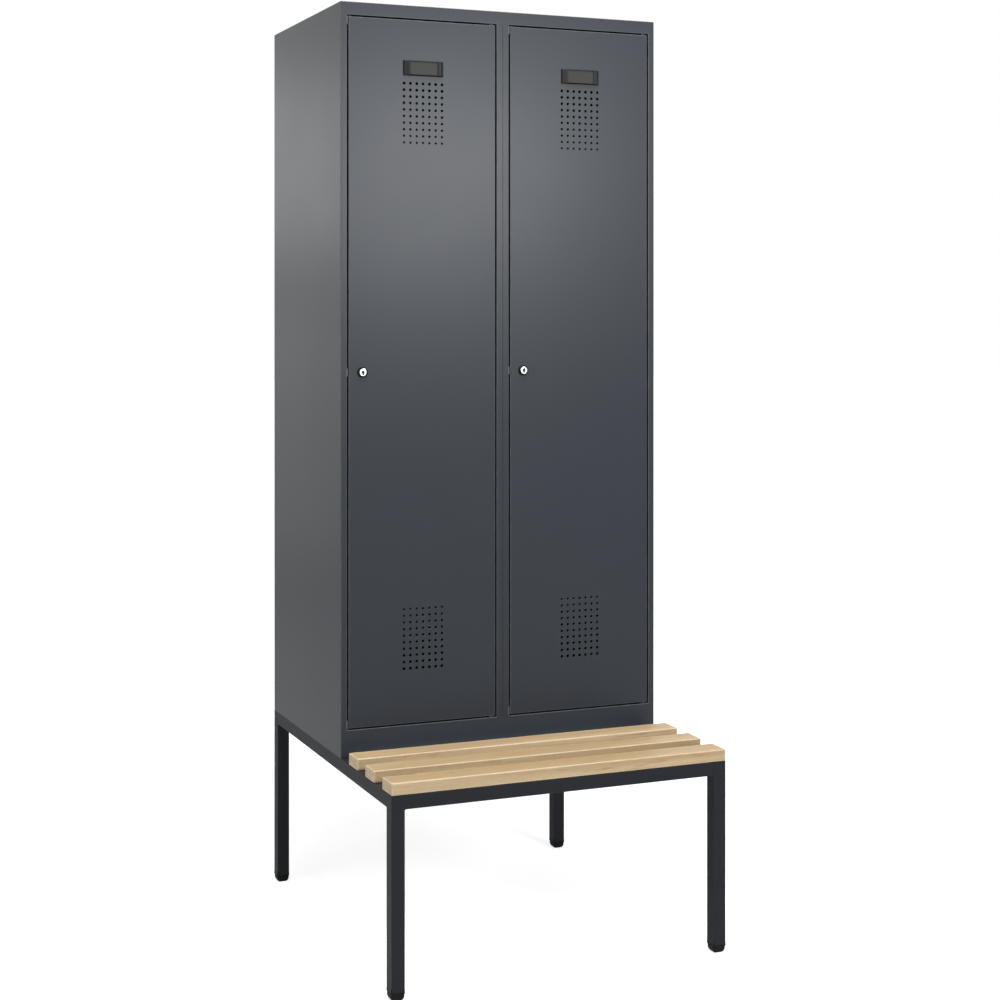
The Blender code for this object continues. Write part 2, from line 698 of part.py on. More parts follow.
def add_door(name, paint, hinge):
    """Folded door pan; its own zero is its lower left front corner."""
    corner = (HINGE_INSET - DOOR_WIDTH, -HINGE_DEPTH, 0)
    bm = box((0, 0, 0), (DOOR_WIDTH, DOOR_THICKNESS, DOOR_HEIGHT))
    front = [edge for edge in bm.edges if all(vert.co.y < SHEET for vert in edge.verts)]
    bmesh.ops.bevel(bm, geom=front, offset=DOOR_EDGE_RADIUS, segments=DOOR_EDGE_STEPS,
                    profile=0.5, affect="EDGES")
    door = add_object(name, bm, paint, corner, parent=hinge)
    cut(door, box((SHEET, SHEET, SHEET),
                  (DOOR_WIDTH - SHEET, DOOR_THICKNESS - SHEET, DOOR_HEIGHT - SHEET)), corner, parent=hinge)
    cut(door, box((DOOR_LIP, DOOR_THICKNESS / 2, DOOR_LIP),
                  (DOOR_WIDTH - DOOR_LIP, DOOR_THICKNESS + CUT_OVERRUN, DOOR_HEIGHT - DOOR_LIP)),
        corner, parent=hinge)
    middle = DOOR_WIDTH / 2
    cut(door, hole_grid(middle, DOOR_HEIGHT - UPPER_HOLES_DROP, True), corner, parent=hinge)
    cut(door, hole_grid(middle, LOWER_HOLES_RISE, False), corner, parent=hinge)
    lock_hole = circle(BARREL_RADIUS + TURN_CLEARANCE, LOCK_SIDES)
    cut(door, prism(lock_hole, SHEET + 2 * CUT_OVERRUN, "Y"),
        (corner[0] + LOCK_INSET, -HINGE_DEPTH - CUT_OVERRUN, DOOR_HEIGHT / 2), parent=hinge)
    pin_bore = circle(PIN_RADIUS + PIN_CLEARANCE, PIN_SIDES)
    cut(door, prism(pin_bore, DOOR_HEIGHT + 2 * CUT_OVERRUN, "Z"), (0, 0, -CUT_OVERRUN), parent=hinge)


def add_stiffener(name, paint, hinge):
    """Hat section behind the middle of the door, between the two grids of holes."""
    half = STIFFENER_WIDTH / 2
    foot = half + STIFFENER_FLANGE
    section = folded([(-foot, 0), (-half, 0), (-half, STIFFENER_DEPTH), (half, STIFFENER_DEPTH),
                      (half, 0), (foot, 0)])
    grid = (HOLE_ROWS - 1) * HOLE_PITCH_Z + STIFFENER_MARGIN
    bottom = LOWER_HOLES_RISE + grid
    top = DOOR_HEIGHT - UPPER_HOLES_DROP - grid
    add_object(name, prism(section, top - bottom, "Z"), paint,
               (HINGE_INSET - DOOR_WIDTH / 2, SHEET + FIT_GAP - HINGE_DEPTH, bottom), parent=hinge)


def add_label(side, plastic, card_finish, hinge):
    """Label holder on the door's face, and the blank card in its pocket."""
    left = HINGE_INSET - DOOR_WIDTH / 2 - LABEL_WIDTH / 2
    bottom = DOOR_HEIGHT - LABEL_DROP - LABEL_HEIGHT
    back = -HINGE_DEPTH - FIT_GAP
    rib = LABEL_WIDTH - LABEL_RIB_INSET
    rib_end = rib + LABEL_RIB_WIDTH
    band = LABEL_POCKET_INSET - LABEL_POCKET_BORDER
    section = [(0, 0), (0, -LABEL_DEPTH), (LABEL_RIM, -LABEL_DEPTH), (LABEL_RIM, -LABEL_FLOOR),
               (band, -LABEL_FLOOR), (band, -LABEL_DEPTH), (rib_end, -LABEL_DEPTH),
               (LABEL_WIDTH, -LABEL_END_HEIGHT), (LABEL_WIDTH, 0)]
    holder = add_object(f"{side}_label_holder", prism(section, LABEL_HEIGHT, "Z"), plastic,
                        (left, back, bottom), parent=hinge)
    pocket_low = (LABEL_POCKET_INSET, -LABEL_DEPTH - CUT_OVERRUN, LABEL_POCKET_BORDER)
    pocket_high = (rib - LABEL_POCKET_BORDER, -LABEL_FLOOR, LABEL_HEIGHT - LABEL_POCKET_BORDER)
    cut(holder, box(pocket_low, pocket_high), (left, back, bottom), parent=hinge)
    card_low = (pocket_low[0] + FIT_GAP, -LABEL_FLOOR - FIT_GAP - CARD_THICKNESS, pocket_low[2] + FIT_GAP)
    card_high = (pocket_high[0] - FIT_GAP, -LABEL_FLOOR - FIT_GAP, pocket_high[2] - FIT_GAP)
    add_object(f"{side}_label_card", box(card_low, card_high), card_finish,
               (left, back, bottom), parent=hinge)


def add_hinge_pins(side, steel, pivot):
    """Pins riveted in the rails above and below the door; heights are from the door's edge."""
    head_base = DOOR_GAP + SHEET + FIT_GAP
    profile = [(0, -PIN_LENGTH), (PIN_RADIUS, -PIN_LENGTH), (PIN_RADIUS, FIT_GAP),
               (PIN_COLLAR_RADIUS, FIT_GAP), (PIN_COLLAR_RADIUS, DOOR_GAP - FIT_GAP),
               (PIN_RADIUS, DOOR_GAP - FIT_GAP), (PIN_RADIUS, head_base), (PIN_HEAD_RADIUS, head_base),
               (PIN_HEAD_RADIUS, head_base + PIN_HEAD_HEIGHT), (0, head_base + PIN_HEAD_HEIGHT)]
    x, y, low = pivot
    for end, z, rotation in (("top", low + DOOR_HEIGHT, (0, 0, 0)), ("bottom", low, UPSIDE_DOWN)):
        add_object(f"{side}_hinge_pin_{end}", turned(profile, PIN_SIDES), steel, (x, y, z), rotation,
                   smooth=True)


def add_lock(side, housing_finish, cylinder_finish, steel, hinge, lock_axis):
    """Cylinder lock: housing and nut on the door, cylinder and cam on the lock's own axis."""
    place = lock_axis.location
    front = -FIT_GAP - ROSETTE_THICKNESS
    floor = front + COUNTERBORE_DEPTH
    counterbore = CYLINDER_RADIUS + TURN_CLEARANCE
    bore = SPINDLE_RADIUS + TURN_CLEARANCE
    housing = turned([(counterbore, front), (ROSETTE_RADIUS - ROSETTE_CHAMFER, front),
                      (ROSETTE_RADIUS, front + ROSETTE_CHAMFER), (ROSETTE_RADIUS, -FIT_GAP),
                      (BARREL_RADIUS, -FIT_GAP), (BARREL_RADIUS, BARREL_LENGTH), (bore, BARREL_LENGTH),
                      (bore, floor), (counterbore, floor)], LOCK_SIDES)
    add_object(f"{side}_lock_housing", housing, housing_finish, place, UPRIGHT_TO_Y, hinge, smooth=True)
    nut_bore = (BARREL_RADIUS + TURN_CLEARANCE) / math.cos(math.pi / HEXAGON_POINTS)
    nut = tube(hexagon(NUT_RADIUS), round_as_hexagon(nut_bore), NUT_THICKNESS, "Z")
    bmesh.ops.translate(nut, vec=(0, 0, SHEET + FIT_GAP), verts=nut.verts)
    add_object(f"{side}_lock_nut", nut, steel, place, UPRIGHT_TO_Y, hinge)

    face = front - CYLINDER_PROUD
    head_back = floor - FIT_GAP
    cylinder = turned([(0, face), (CYLINDER_RADIUS - CYLINDER_CHAMFER, face),
                       (CYLINDER_RADIUS, face + CYLINDER_CHAMFER), (CYLINDER_RADIUS, head_back),
                       (SPINDLE_RADIUS, head_back), (SPINDLE_RADIUS, BARREL_LENGTH),
                       (0, BARREL_LENGTH)], LOCK_SIDES)
    cylinder = add_object(f"{side}_lock_cylinder", cylinder, cylinder_finish, (0, 0, 0), UPRIGHT_TO_Y,
                          lock_axis, smooth=True)
    half = SQUARE_SIZE / 2
    cam_back = CAM_FRONT + CAM_THICKNESS
    join(cylinder, box((-half, -half, BARREL_LENGTH / 2), (half, half, cam_back)),
         (0, 0, 0), UPRIGHT_TO_Y, lock_axis)
    key_x = KEYWAY_WIDTH / 2
    key_y = KEYWAY_HEIGHT / 2
    cut(cylinder, box((-key_x, -key_y, face - CUT_OVERRUN), (key_x, key_y, face + KEYWAY_DEPTH)),
        (0, 0, 0), UPRIGHT_TO_Y, lock_axis)

    cam = add_object(f"{side}_lock_cam", prism(cam_outline(), CAM_THICKNESS, "Z"), steel,
                     (0, CAM_FRONT, 0), UPRIGHT_TO_Y, lock_axis)
    hole = half + FIT_GAP
    cut(cam, box((-hole, -hole, -CUT_OVERRUN), (hole, hole, CAM_THICKNESS + CUT_OVERRUN)),
        (0, CAM_FRONT, 0), UPRIGHT_TO_Y, lock_axis)


def cam_outline():
    """Cam: a round hub and a straight arm with a round tip, pointing along +Y of its own."""
    points = []
    tip_y = CAM_REACH - CAM_HALF_WIDTH
    for step in range(CAM_ARC_STEPS + 1):
        angle = step / CAM_ARC_STEPS * math.pi
        points.append((CAM_HALF_WIDTH * math.cos(angle), tip_y + CAM_HALF_WIDTH * math.sin(angle)))
    start = math.pi - math.acos(CAM_HALF_WIDTH / CAM_HUB_RADIUS)
    sweep = 3 * math.pi - 2 * start
    for step in range(CAM_ARC_STEPS + 1):
        angle = start + step / CAM_ARC_STEPS * sweep
        points.append((CAM_HUB_RADIUS * math.cos(angle), CAM_HUB_RADIUS * math.sin(angle)))
    return points


def add_buffer(side, rubber, stile_x):
    """Buffer strip on the closing stile's door stop.

    Blocks at the top corner, at lock height and at the bottom corner reach forward in the gap
    beside the door, and the end ones into the gap above and below it.
    """
    back = STOP_DEPTH - FIT_GAP
    pad_front = DOOR_THICKNESS + FIT_GAP
    reach = STOP_WIDTH - FIT_GAP
    tab = DOOR_GAP - BUFFER_TAB_CLEARANCE - FIT_GAP
    low = OPENING_BOTTOM_Z + FIT_GAP
    high = OPENING_TOP_Z - FIT_GAP
    middle = DOOR_BOTTOM_Z + DOOR_HEIGHT / 2
    place = (stile_x + STILE_WIDTH + FIT_GAP, BODY_FRONT_Y, 0)
    before = BUFFER_FRONT - CUT_OVERRUN
    buffer = add_object(f"{side}_door_buffer", box((0, BUFFER_FRONT, low), (reach, back, high)),
                        rubber, place)
    cut(buffer, box((BUFFER_LEG, before, low + tab), (reach + CUT_OVERRUN, pad_front, high - tab)), place)
    for start, end in ((low + BUFFER_HEIGHT, middle - BUFFER_HEIGHT / 2),
                       (middle + BUFFER_HEIGHT / 2, high - BUFFER_HEIGHT)):
        cut(buffer, box((-CUT_OVERRUN, before, start), (BUFFER_LEG + CUT_OVERRUN, pad_front, end)), place)


def build_doors(finishes):
    """Both doors with all they carry, each on the empty of its hinge."""
    for side, stile_x in compartments():
        pivot = (stile_x + STILE_WIDTH + DOOR_GAP + DOOR_WIDTH - HINGE_INSET,
                 BODY_FRONT_Y + HINGE_DEPTH, DOOR_BOTTOM_Z)
        hinge = add_empty(f"{side}_door_axis", pivot)
        lock_axis = add_empty(f"{side}_lock_axis",
                              (HINGE_INSET - DOOR_WIDTH + LOCK_INSET, -HINGE_DEPTH, DOOR_HEIGHT / 2), hinge)
        add_door(f"{side}_door", finishes["body_paint"], hinge)
        add_stiffener(f"{side}_door_stiffener", finishes["body_paint"], hinge)
        add_label(side, finishes["label_plastic"], finishes["label_card"], hinge)
        add_hinge_pins(side, finishes["zinc_steel"], pivot)
        add_lock(side, finishes["lock_black"], finishes["lock_nickel"], finishes["zinc_steel"],
                 hinge, lock_axis)
        add_buffer(side, finishes["buffer_rubber"], stile_x)


def build():
    """Model the whole locker."""
    clear_scene()
    finishes = {
        "body_paint": make_material("body_paint", (0.080, 0.087, 0.101), 0.45, 0.0),
        "frame_paint": make_material("frame_paint", (0.026, 0.030, 0.034), 0.50, 0.0),
        "beech": make_material("beech", (0.58, 0.42, 0.24), 0.55, 0.0),
        "glide_plastic": make_material("glide_plastic", (0.012, 0.012, 0.013), 0.60, 0.0),
        "label_plastic": make_material("label_plastic", (0.060, 0.060, 0.060), 0.50, 0.0),
        "label_card": make_material("label_card", (0.105, 0.105, 0.105), 0.60, 0.0),
        "lock_black": make_material("lock_black", (0.010, 0.010, 0.011), 0.40, 0.0),
        "lock_nickel": make_material("lock_nickel", (0.78, 0.78, 0.76), 0.25, 1.0),
        "zinc_steel": make_material("zinc_steel", (0.62, 0.63, 0.64), 0.35, 1.0),
        "rail_steel": make_material("rail_steel", (0.70, 0.71, 0.72), 0.30, 1.0),
        "hook_plastic": make_material("hook_plastic", (0.020, 0.020, 0.021), 0.50, 0.0),
        "buffer_rubber": make_material("buffer_rubber", (0.14, 0.14, 0.15), 0.75, 0.0),
    }
    build_frame(finishes["frame_paint"], finishes["glide_plastic"])
    build_slats(finishes["beech"])
    build_body_bolts(finishes["zinc_steel"])
    build_walls(finishes["body_paint"])
    build_shell(finishes["body_paint"])
    build_interior(finishes["body_paint"], finishes["rail_steel"], finishes["hook_plastic"])
    build_doors(finishes)


build()
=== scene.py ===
"""Looks of a two-door clothes locker on its bench frame.

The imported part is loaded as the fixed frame. Each class is one sub-assembly: it holds its sizes,
models its pieces and dresses them in the finishes. Metres, +Z up, doors facing -Y.
"""

import logging
import math
from collections.abc import Callable, Iterator, Sequence
from contextlib import contextmanager
from dataclasses import dataclass
from enum import Enum

import bmesh
import bpy
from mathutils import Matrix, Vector


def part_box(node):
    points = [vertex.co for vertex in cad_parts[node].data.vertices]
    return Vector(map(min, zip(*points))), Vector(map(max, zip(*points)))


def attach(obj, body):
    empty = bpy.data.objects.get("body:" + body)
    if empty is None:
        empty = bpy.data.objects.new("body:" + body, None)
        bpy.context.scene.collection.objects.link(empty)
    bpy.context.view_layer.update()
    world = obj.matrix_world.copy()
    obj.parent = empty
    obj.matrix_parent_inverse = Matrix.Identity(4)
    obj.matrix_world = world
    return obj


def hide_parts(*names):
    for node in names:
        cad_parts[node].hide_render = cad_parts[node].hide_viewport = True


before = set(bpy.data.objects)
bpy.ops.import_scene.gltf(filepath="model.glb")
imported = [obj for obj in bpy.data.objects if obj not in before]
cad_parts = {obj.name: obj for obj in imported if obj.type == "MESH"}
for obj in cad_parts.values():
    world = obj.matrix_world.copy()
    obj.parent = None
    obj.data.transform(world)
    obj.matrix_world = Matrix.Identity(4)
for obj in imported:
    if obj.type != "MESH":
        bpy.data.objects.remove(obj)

logging.basicConfig(level=logging.INFO, format="%(message)s")
log = logging.getLogger("locker")

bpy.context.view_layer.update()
CAD_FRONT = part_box("left_side_panel")[0].y
SHEET = 0.001
BEND = 0.0015
CUT = 0.01
WHITE = (1.0, 1.0, 1.0, 1.0)

# How much of a face's normal, and of an edge's direction, lies along the axis it follows
FACING = 0.9
STRAIGHT = 0.99

Pair = tuple[float, float]
Triple = tuple[float, float, float]
Colour = tuple[float, float, float]
Test = Callable[[Vector, Vector], bool]
Socket = bpy.types.NodeSocket
Object = bpy.types.Object


# Named options

class Kind(Enum):
    """What an edit-mode selection is made of."""

    CORNER = "VERT"
    EDGE = "EDGE"
    FACE = "FACE"


class Side(Enum):
    """The two compartments, seen from the front."""

    LEFT = "left"
    RIGHT = "right"


class Finish(Enum):
    """The finishes, by the name of the record's material slot."""

    BODY_PAINT = "body_paint"
    FRAME_PAINT = "frame_paint"
    BEECH = "beech"
    GLIDE_PLASTIC = "glide_plastic"
    LABEL_PLASTIC = "label_plastic"
    LABEL_CARD = "label_card"
    LOCK_BLACK = "lock_black"
    LOCK_NICKEL = "lock_nickel"
    ZINC_STEEL = "zinc_steel"
    RAIL_STEEL = "rail_steel"
    HOOK_PLASTIC = "hook_plastic"
    BUFFER_RUBBER = "buffer_rubber"


# Modelling

def take(*pieces: Object) -> None:
    """Select only these pieces, the first one active."""
    bpy.ops.object.select_all(action="DESELECT")
    for piece in pieces:
        piece.select_set(True)
    bpy.context.view_layer.objects.active = pieces[0]


def set_in_mesh(piece: Object) -> None:
    """Move a piece's place, turn and scale into its mesh."""
    take(piece)
    bpy.ops.object.transform_apply(location=True, rotation=True, scale=True)


def named(name: str) -> Object:
    """Name the primitive that was just added and set its place in its mesh."""
    piece = bpy.context.active_object
    piece.name = piece.data.name = name
    set_in_mesh(piece)
    return piece


def add_block(name: str, low: Sequence[float], high: Sequence[float]) -> Object:
    """Add a cube primitive between two corners.

    Args:
        name: Name of the piece.
        low: Lowest corner.
        high: Highest corner.

    Returns:
        The block.
    """
    low, high = Vector(low), Vector(high)
    bpy.ops.mesh.primitive_cube_add(size=1, location=(low + high) / 2, scale=high - low)
    return named(name)


def add_rod(name: str, radius: float, length: float, middle: Sequence[float],
            direction: Sequence[float], sides: int = 24) -> Object:
    """Add a cylinder primitive.

    Args:
        name: Name of the piece.
        radius: Its radius.
        length: Its length.
        middle: Its middle.
        direction: The way its axis points.
        sides: Number of sides.

    Returns:
        The rod.
    """
    turn = Vector((0, 0, 1)).rotation_difference(Vector(direction)).to_euler()
    bpy.ops.mesh.primitive_cylinder_add(vertices=sides, radius=radius, depth=length,
                                        location=middle, rotation=turn)
    return named(name)


@contextmanager
def editing(piece: Object) -> Iterator[None]:
    """Open edit mode on a piece with nothing selected in it, and leave it at the end."""
    take(piece)
    bpy.ops.object.mode_set(mode="EDIT")
    bpy.ops.mesh.select_all(action="DESELECT")
    yield
    bpy.ops.object.mode_set(mode="OBJECT")


def pick(kind: Kind, test: Test) -> None:
    """Select what passes a test on its middle and on its normal, or an edge's direction.

    Args:
        kind: Corners, edges or faces.
        test: Says whether one of them is selected.

    Raises:
        ValueError: Nothing passed the test.
    """
    bpy.ops.mesh.select_mode(type=kind.value)
    bpy.ops.mesh.select_all(action="DESELECT")
    mesh = bmesh.from_edit_mesh(bpy.context.edit_object.data)
    mesh.normal_update()
    if kind is Kind.FACE:
        spots = [(face, face.calc_center_median(), face.normal) for face in mesh.faces]
    elif kind is Kind.EDGE:
        spots = [(edge, (edge.verts[0].co + edge.verts[1].co) / 2,
                  (edge.verts[1].co - edge.verts[0].co).normalized()) for edge in mesh.edges]
    else:
        spots = [(corner, corner.co, corner.normal) for corner in mesh.verts]
    passed = [spot for spot, middle, direction in spots if test(middle, direction)]
    if not passed:
        raise ValueError(f"nothing to select on {bpy.context.edit_object.name}")
    for spot in passed:
        spot.select_set(True)
    mesh.select_flush_mode()
    bmesh.update_edit_mesh(bpy.context.edit_object.data)


def near(first: float, second: float) -> bool:
    """Whether two places are the same to a hundredth of a millimetre."""
    return abs(first - second) < 1e-5


def extrude(move: Sequence[float]) -> None:
    """Extrude the selection by a move."""
    bpy.ops.mesh.extrude_region_move(TRANSFORM_OT_translate={"value": move})


def slice_at(place: Sequence[float], normal: Sequence[float]) -> None:
    """Cut the selected faces along a plane."""
    bpy.ops.mesh.bisect(plane_co=place, plane_no=normal)


def round_selected(radius: float, steps: int) -> None:
    """Round the selected edges."""
    bpy.ops.mesh.bevel(offset=radius, segments=steps, affect="EDGES")


def round_sharp(piece: Object, radius: float, steps: int, angle: float = 45) -> None:
    """Round every edge of a piece that is sharper than an angle in degrees."""
    with editing(piece):
        bpy.ops.mesh.select_mode(type="EDGE")
        bpy.ops.mesh.edges_select_sharp(sharpness=math.radians(angle))
        round_selected(radius, steps)


def close_up(piece: Object) -> None:
    """Merge corners that lie on each other and turn all faces outwards."""
    with editing(piece):
        bpy.ops.mesh.select_all(action="SELECT")
        bpy.ops.mesh.remove_doubles(threshold=1e-6)
        bpy.ops.mesh.normals_make_consistent(inside=False)


def modify(piece: Object, kind: str, **settings: object) -> None:
    """Add a modifier of a kind to a piece with these settings, and apply it."""
    take(piece)
    modifier = piece.modifiers.new(kind.title(), kind)
    for name, value in settings.items():
        setattr(modifier, name, value)
    bpy.ops.object.modifier_apply(modifier=modifier.name)


def combine(piece: Object, tool: Object, operation: str) -> None:
    """Join a tool to a piece or cut it out of it, and remove the tool."""
    modify(piece, "BOOLEAN", object=tool, operation=operation, solver="EXACT")
    bpy.data.objects.remove(tool, do_unlink=True)


def merge(pieces: Sequence[Object]) -> Object:
    """Join pieces into the first one."""
    take(*pieces)
    bpy.ops.object.join()
    return pieces[0]


def copy_by(piece: Object, name: str, move: Sequence[float]) -> Object:
    """Copy a piece with its own mesh.

    Args:
        piece: What is copied.
        name: Name of the copy.
        move: From the piece to the copy.

    Returns:
        The copy.
    """
    take(piece)
    bpy.ops.object.duplicate(linked=False)
    made = bpy.context.active_object
    made.location = Vector(move)
    return named(name)


def twin(piece: Object, left_node: str) -> Object:
    """Copy a left-hand piece to where the right-hand CAD node of the same name is."""
    right_node = left_node.replace("left", "right")
    move = (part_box(right_node)[0].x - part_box(left_node)[0].x, 0, 0)
    return copy_by(piece, piece.name.replace("left", "right"), move)


def folded(name: str, start: Sequence[float], run: Sequence[float],
           moves: Sequence[Sequence[float]], outside: Sequence[float]) -> Object:
    """Fold a strip of sheet from a starting edge, flap by flap; it has no thickness yet.

    Args:
        name: Name of the piece.
        start: Beginning of the starting edge.
        run: The starting edge, along X or Z.
        moves: From each fold line to the next.
        outside: The way the outer face of the first flap looks.

    Returns:
        The strip, with the outer faces of its flaps as its faces.
    """
    run, start = Vector(run), Vector(start)
    upright = abs(run.z) > abs(run.x)
    bpy.ops.mesh.primitive_plane_add(size=1, rotation=(0, math.pi / 2 if upright else 0, 0))
    piece = named(name)
    middle = Vector((0, -0.5, 0))
    with editing(piece):
        pick(Kind.CORNER, lambda place, _: place.y > 0)
        bpy.ops.mesh.delete(type="VERT")
        bpy.ops.mesh.select_mode(type="EDGE")
        bpy.ops.mesh.select_all(action="SELECT")
        bpy.ops.transform.resize(value=(run.length,) * 3, center_override=middle)
        bpy.ops.transform.translate(value=start + run / 2 - middle)
        for move in moves:
            extrude(move)
        bpy.ops.mesh.select_all(action="SELECT")
        bpy.ops.mesh.normals_make_consistent(inside=False)
        first = start + run / 2 + Vector(moves[0]) / 2
        mesh = bmesh.from_edit_mesh(piece.data)
        face = min(mesh.faces, key=lambda one: (one.calc_center_median() - first).length)
        if face.normal.dot(Vector(outside)) < 0:
            bpy.ops.mesh.flip_normals()
    return piece


def give_thickness(piece: Object, thickness: float = SHEET) -> None:
    """Round a sheet's folds and give it its thickness on the inside."""
    round_sharp(piece, BEND, 3)
    modify(piece, "SOLIDIFY", thickness=thickness, offset=-1, use_even_offset=True)


def turned(name: str, profile: Sequence[Pair], place: Sequence[float],
           direction: Sequence[float], sides: int = 32, hollow: bool = False) -> Object:
    """Turn a profile about an axis, ring by ring.

    Args:
        name: Name of the piece.
        profile: Radius and height of each ring; a hollow one ends where it begins.
        place: Where height zero is on the axis.
        direction: The way heights grow.
        sides: Number of sides.
        hollow: Whether the profile is a closed loop and not a solid with two ends.

    Returns:
        The turned piece.
    """
    radius, height = profile[0]
    bpy.ops.mesh.primitive_circle_add(vertices=sides, radius=radius, location=(0, 0, height),
                                      fill_type="NOTHING" if hollow else "NGON")
    piece = named(name)
    with editing(piece):
        bpy.ops.mesh.select_mode(type="EDGE" if hollow else "FACE")
        bpy.ops.mesh.select_all(action="SELECT")
        for next_radius, next_height in profile[1:]:
            extrude((0, 0, next_height - height))
            share = next_radius / radius
            bpy.ops.transform.resize(value=(share, share, 1), center_override=(0, 0, next_height))
            radius, height = next_radius, next_height
    close_up(piece)
    piece.location = Vector(place)
    piece.rotation_euler = Vector((0, 0, 1)).rotation_difference(Vector(direction)).to_euler()
    set_in_mesh(piece)
    return piece


# Finishes

class Desk:
    """A node tree with short calls to add and join its nodes."""

    def __init__(self, tree: bpy.types.NodeTree) -> None:
        """Work on a material's or a group's tree."""
        self.tree = tree

    def add(self, kind: str, **values: object) -> bpy.types.Node:
        """Add a node of a kind with these properties."""
        node = self.tree.nodes.new(kind)
        for name, value in values.items():
            setattr(node, name, value)
        return node

    def put(self, socket: Socket, value: object) -> None:
        """Give a socket a link or a value."""
        if isinstance(value, bpy.types.NodeSocket):
            self.tree.links.new(value, socket)
        else:
            socket.default_value = value

    def calc(self, operation: str, first: object, second: object = 0.0) -> Socket:
        """Result of a Math node."""
        node = self.add("ShaderNodeMath", operation=operation)
        self.put(node.inputs[0], first)
        self.put(node.inputs[1], second)
        return node.outputs[0]

    def mix(self, share: object, first: object, second: object) -> Socket:
        """Colour between two colours."""
        node = self.add("ShaderNodeMix", data_type="RGBA")
        self.put(node.inputs["Factor"], share)
        self.put(node.inputs[6], first)
        self.put(node.inputs[7], second)
        return node.outputs[2]

    def noise(self, vector: Socket, scale: object, detail: float = 3.0,
              roughness: float = 0.55) -> Socket:
        """Value of a Noise texture."""
        node = self.add("ShaderNodeTexNoise")
        self.put(node.inputs["Vector"], vector)
        self.put(node.inputs["Scale"], scale)
        self.put(node.inputs["Detail"], detail)
        self.put(node.inputs["Roughness"], roughness)
        return node.outputs["Fac"]

    def between(self, value: Socket, low: object, high: object, to_low: object = 0.0,
                to_high: object = 1.0) -> Socket:
        """Value brought smoothly from one range to another."""
        node = self.add("ShaderNodeMapRange", interpolation_type="SMOOTHSTEP")
        for name, setting in (("Value", value), ("From Min", low), ("From Max", high),
                              ("To Min", to_low), ("To Max", to_high)):
            self.put(node.inputs[name], setting)
        return node.outputs["Result"]

    def scaled(self, vector: Socket, scale: Sequence[float],
               turn: Sequence[float] = (0, 0, 0)) -> Socket:
        """Vector of a Mapping node."""
        node = self.add("ShaderNodeMapping")
        self.put(node.inputs["Vector"], vector)
        self.put(node.inputs["Scale"], scale)
        self.put(node.inputs["Rotation"], turn)
        return node.outputs["Vector"]

    def parts(self, vector: Socket) -> bpy.types.bpy_prop_collection:
        """The X, Y and Z of a vector, by name."""
        node = self.add("ShaderNodeSeparateXYZ")
        self.put(node.inputs["Vector"], vector)
        return node.outputs

    def effect(self, group: bpy.types.NodeTree, **values: object) -> bpy.types.bpy_prop_collection:
        """What a shared group puts out for these inputs, by name."""
        node = self.add("ShaderNodeGroup", node_tree=group)
        for name, value in values.items():
            self.put(node.inputs[name], value)
        return node.outputs


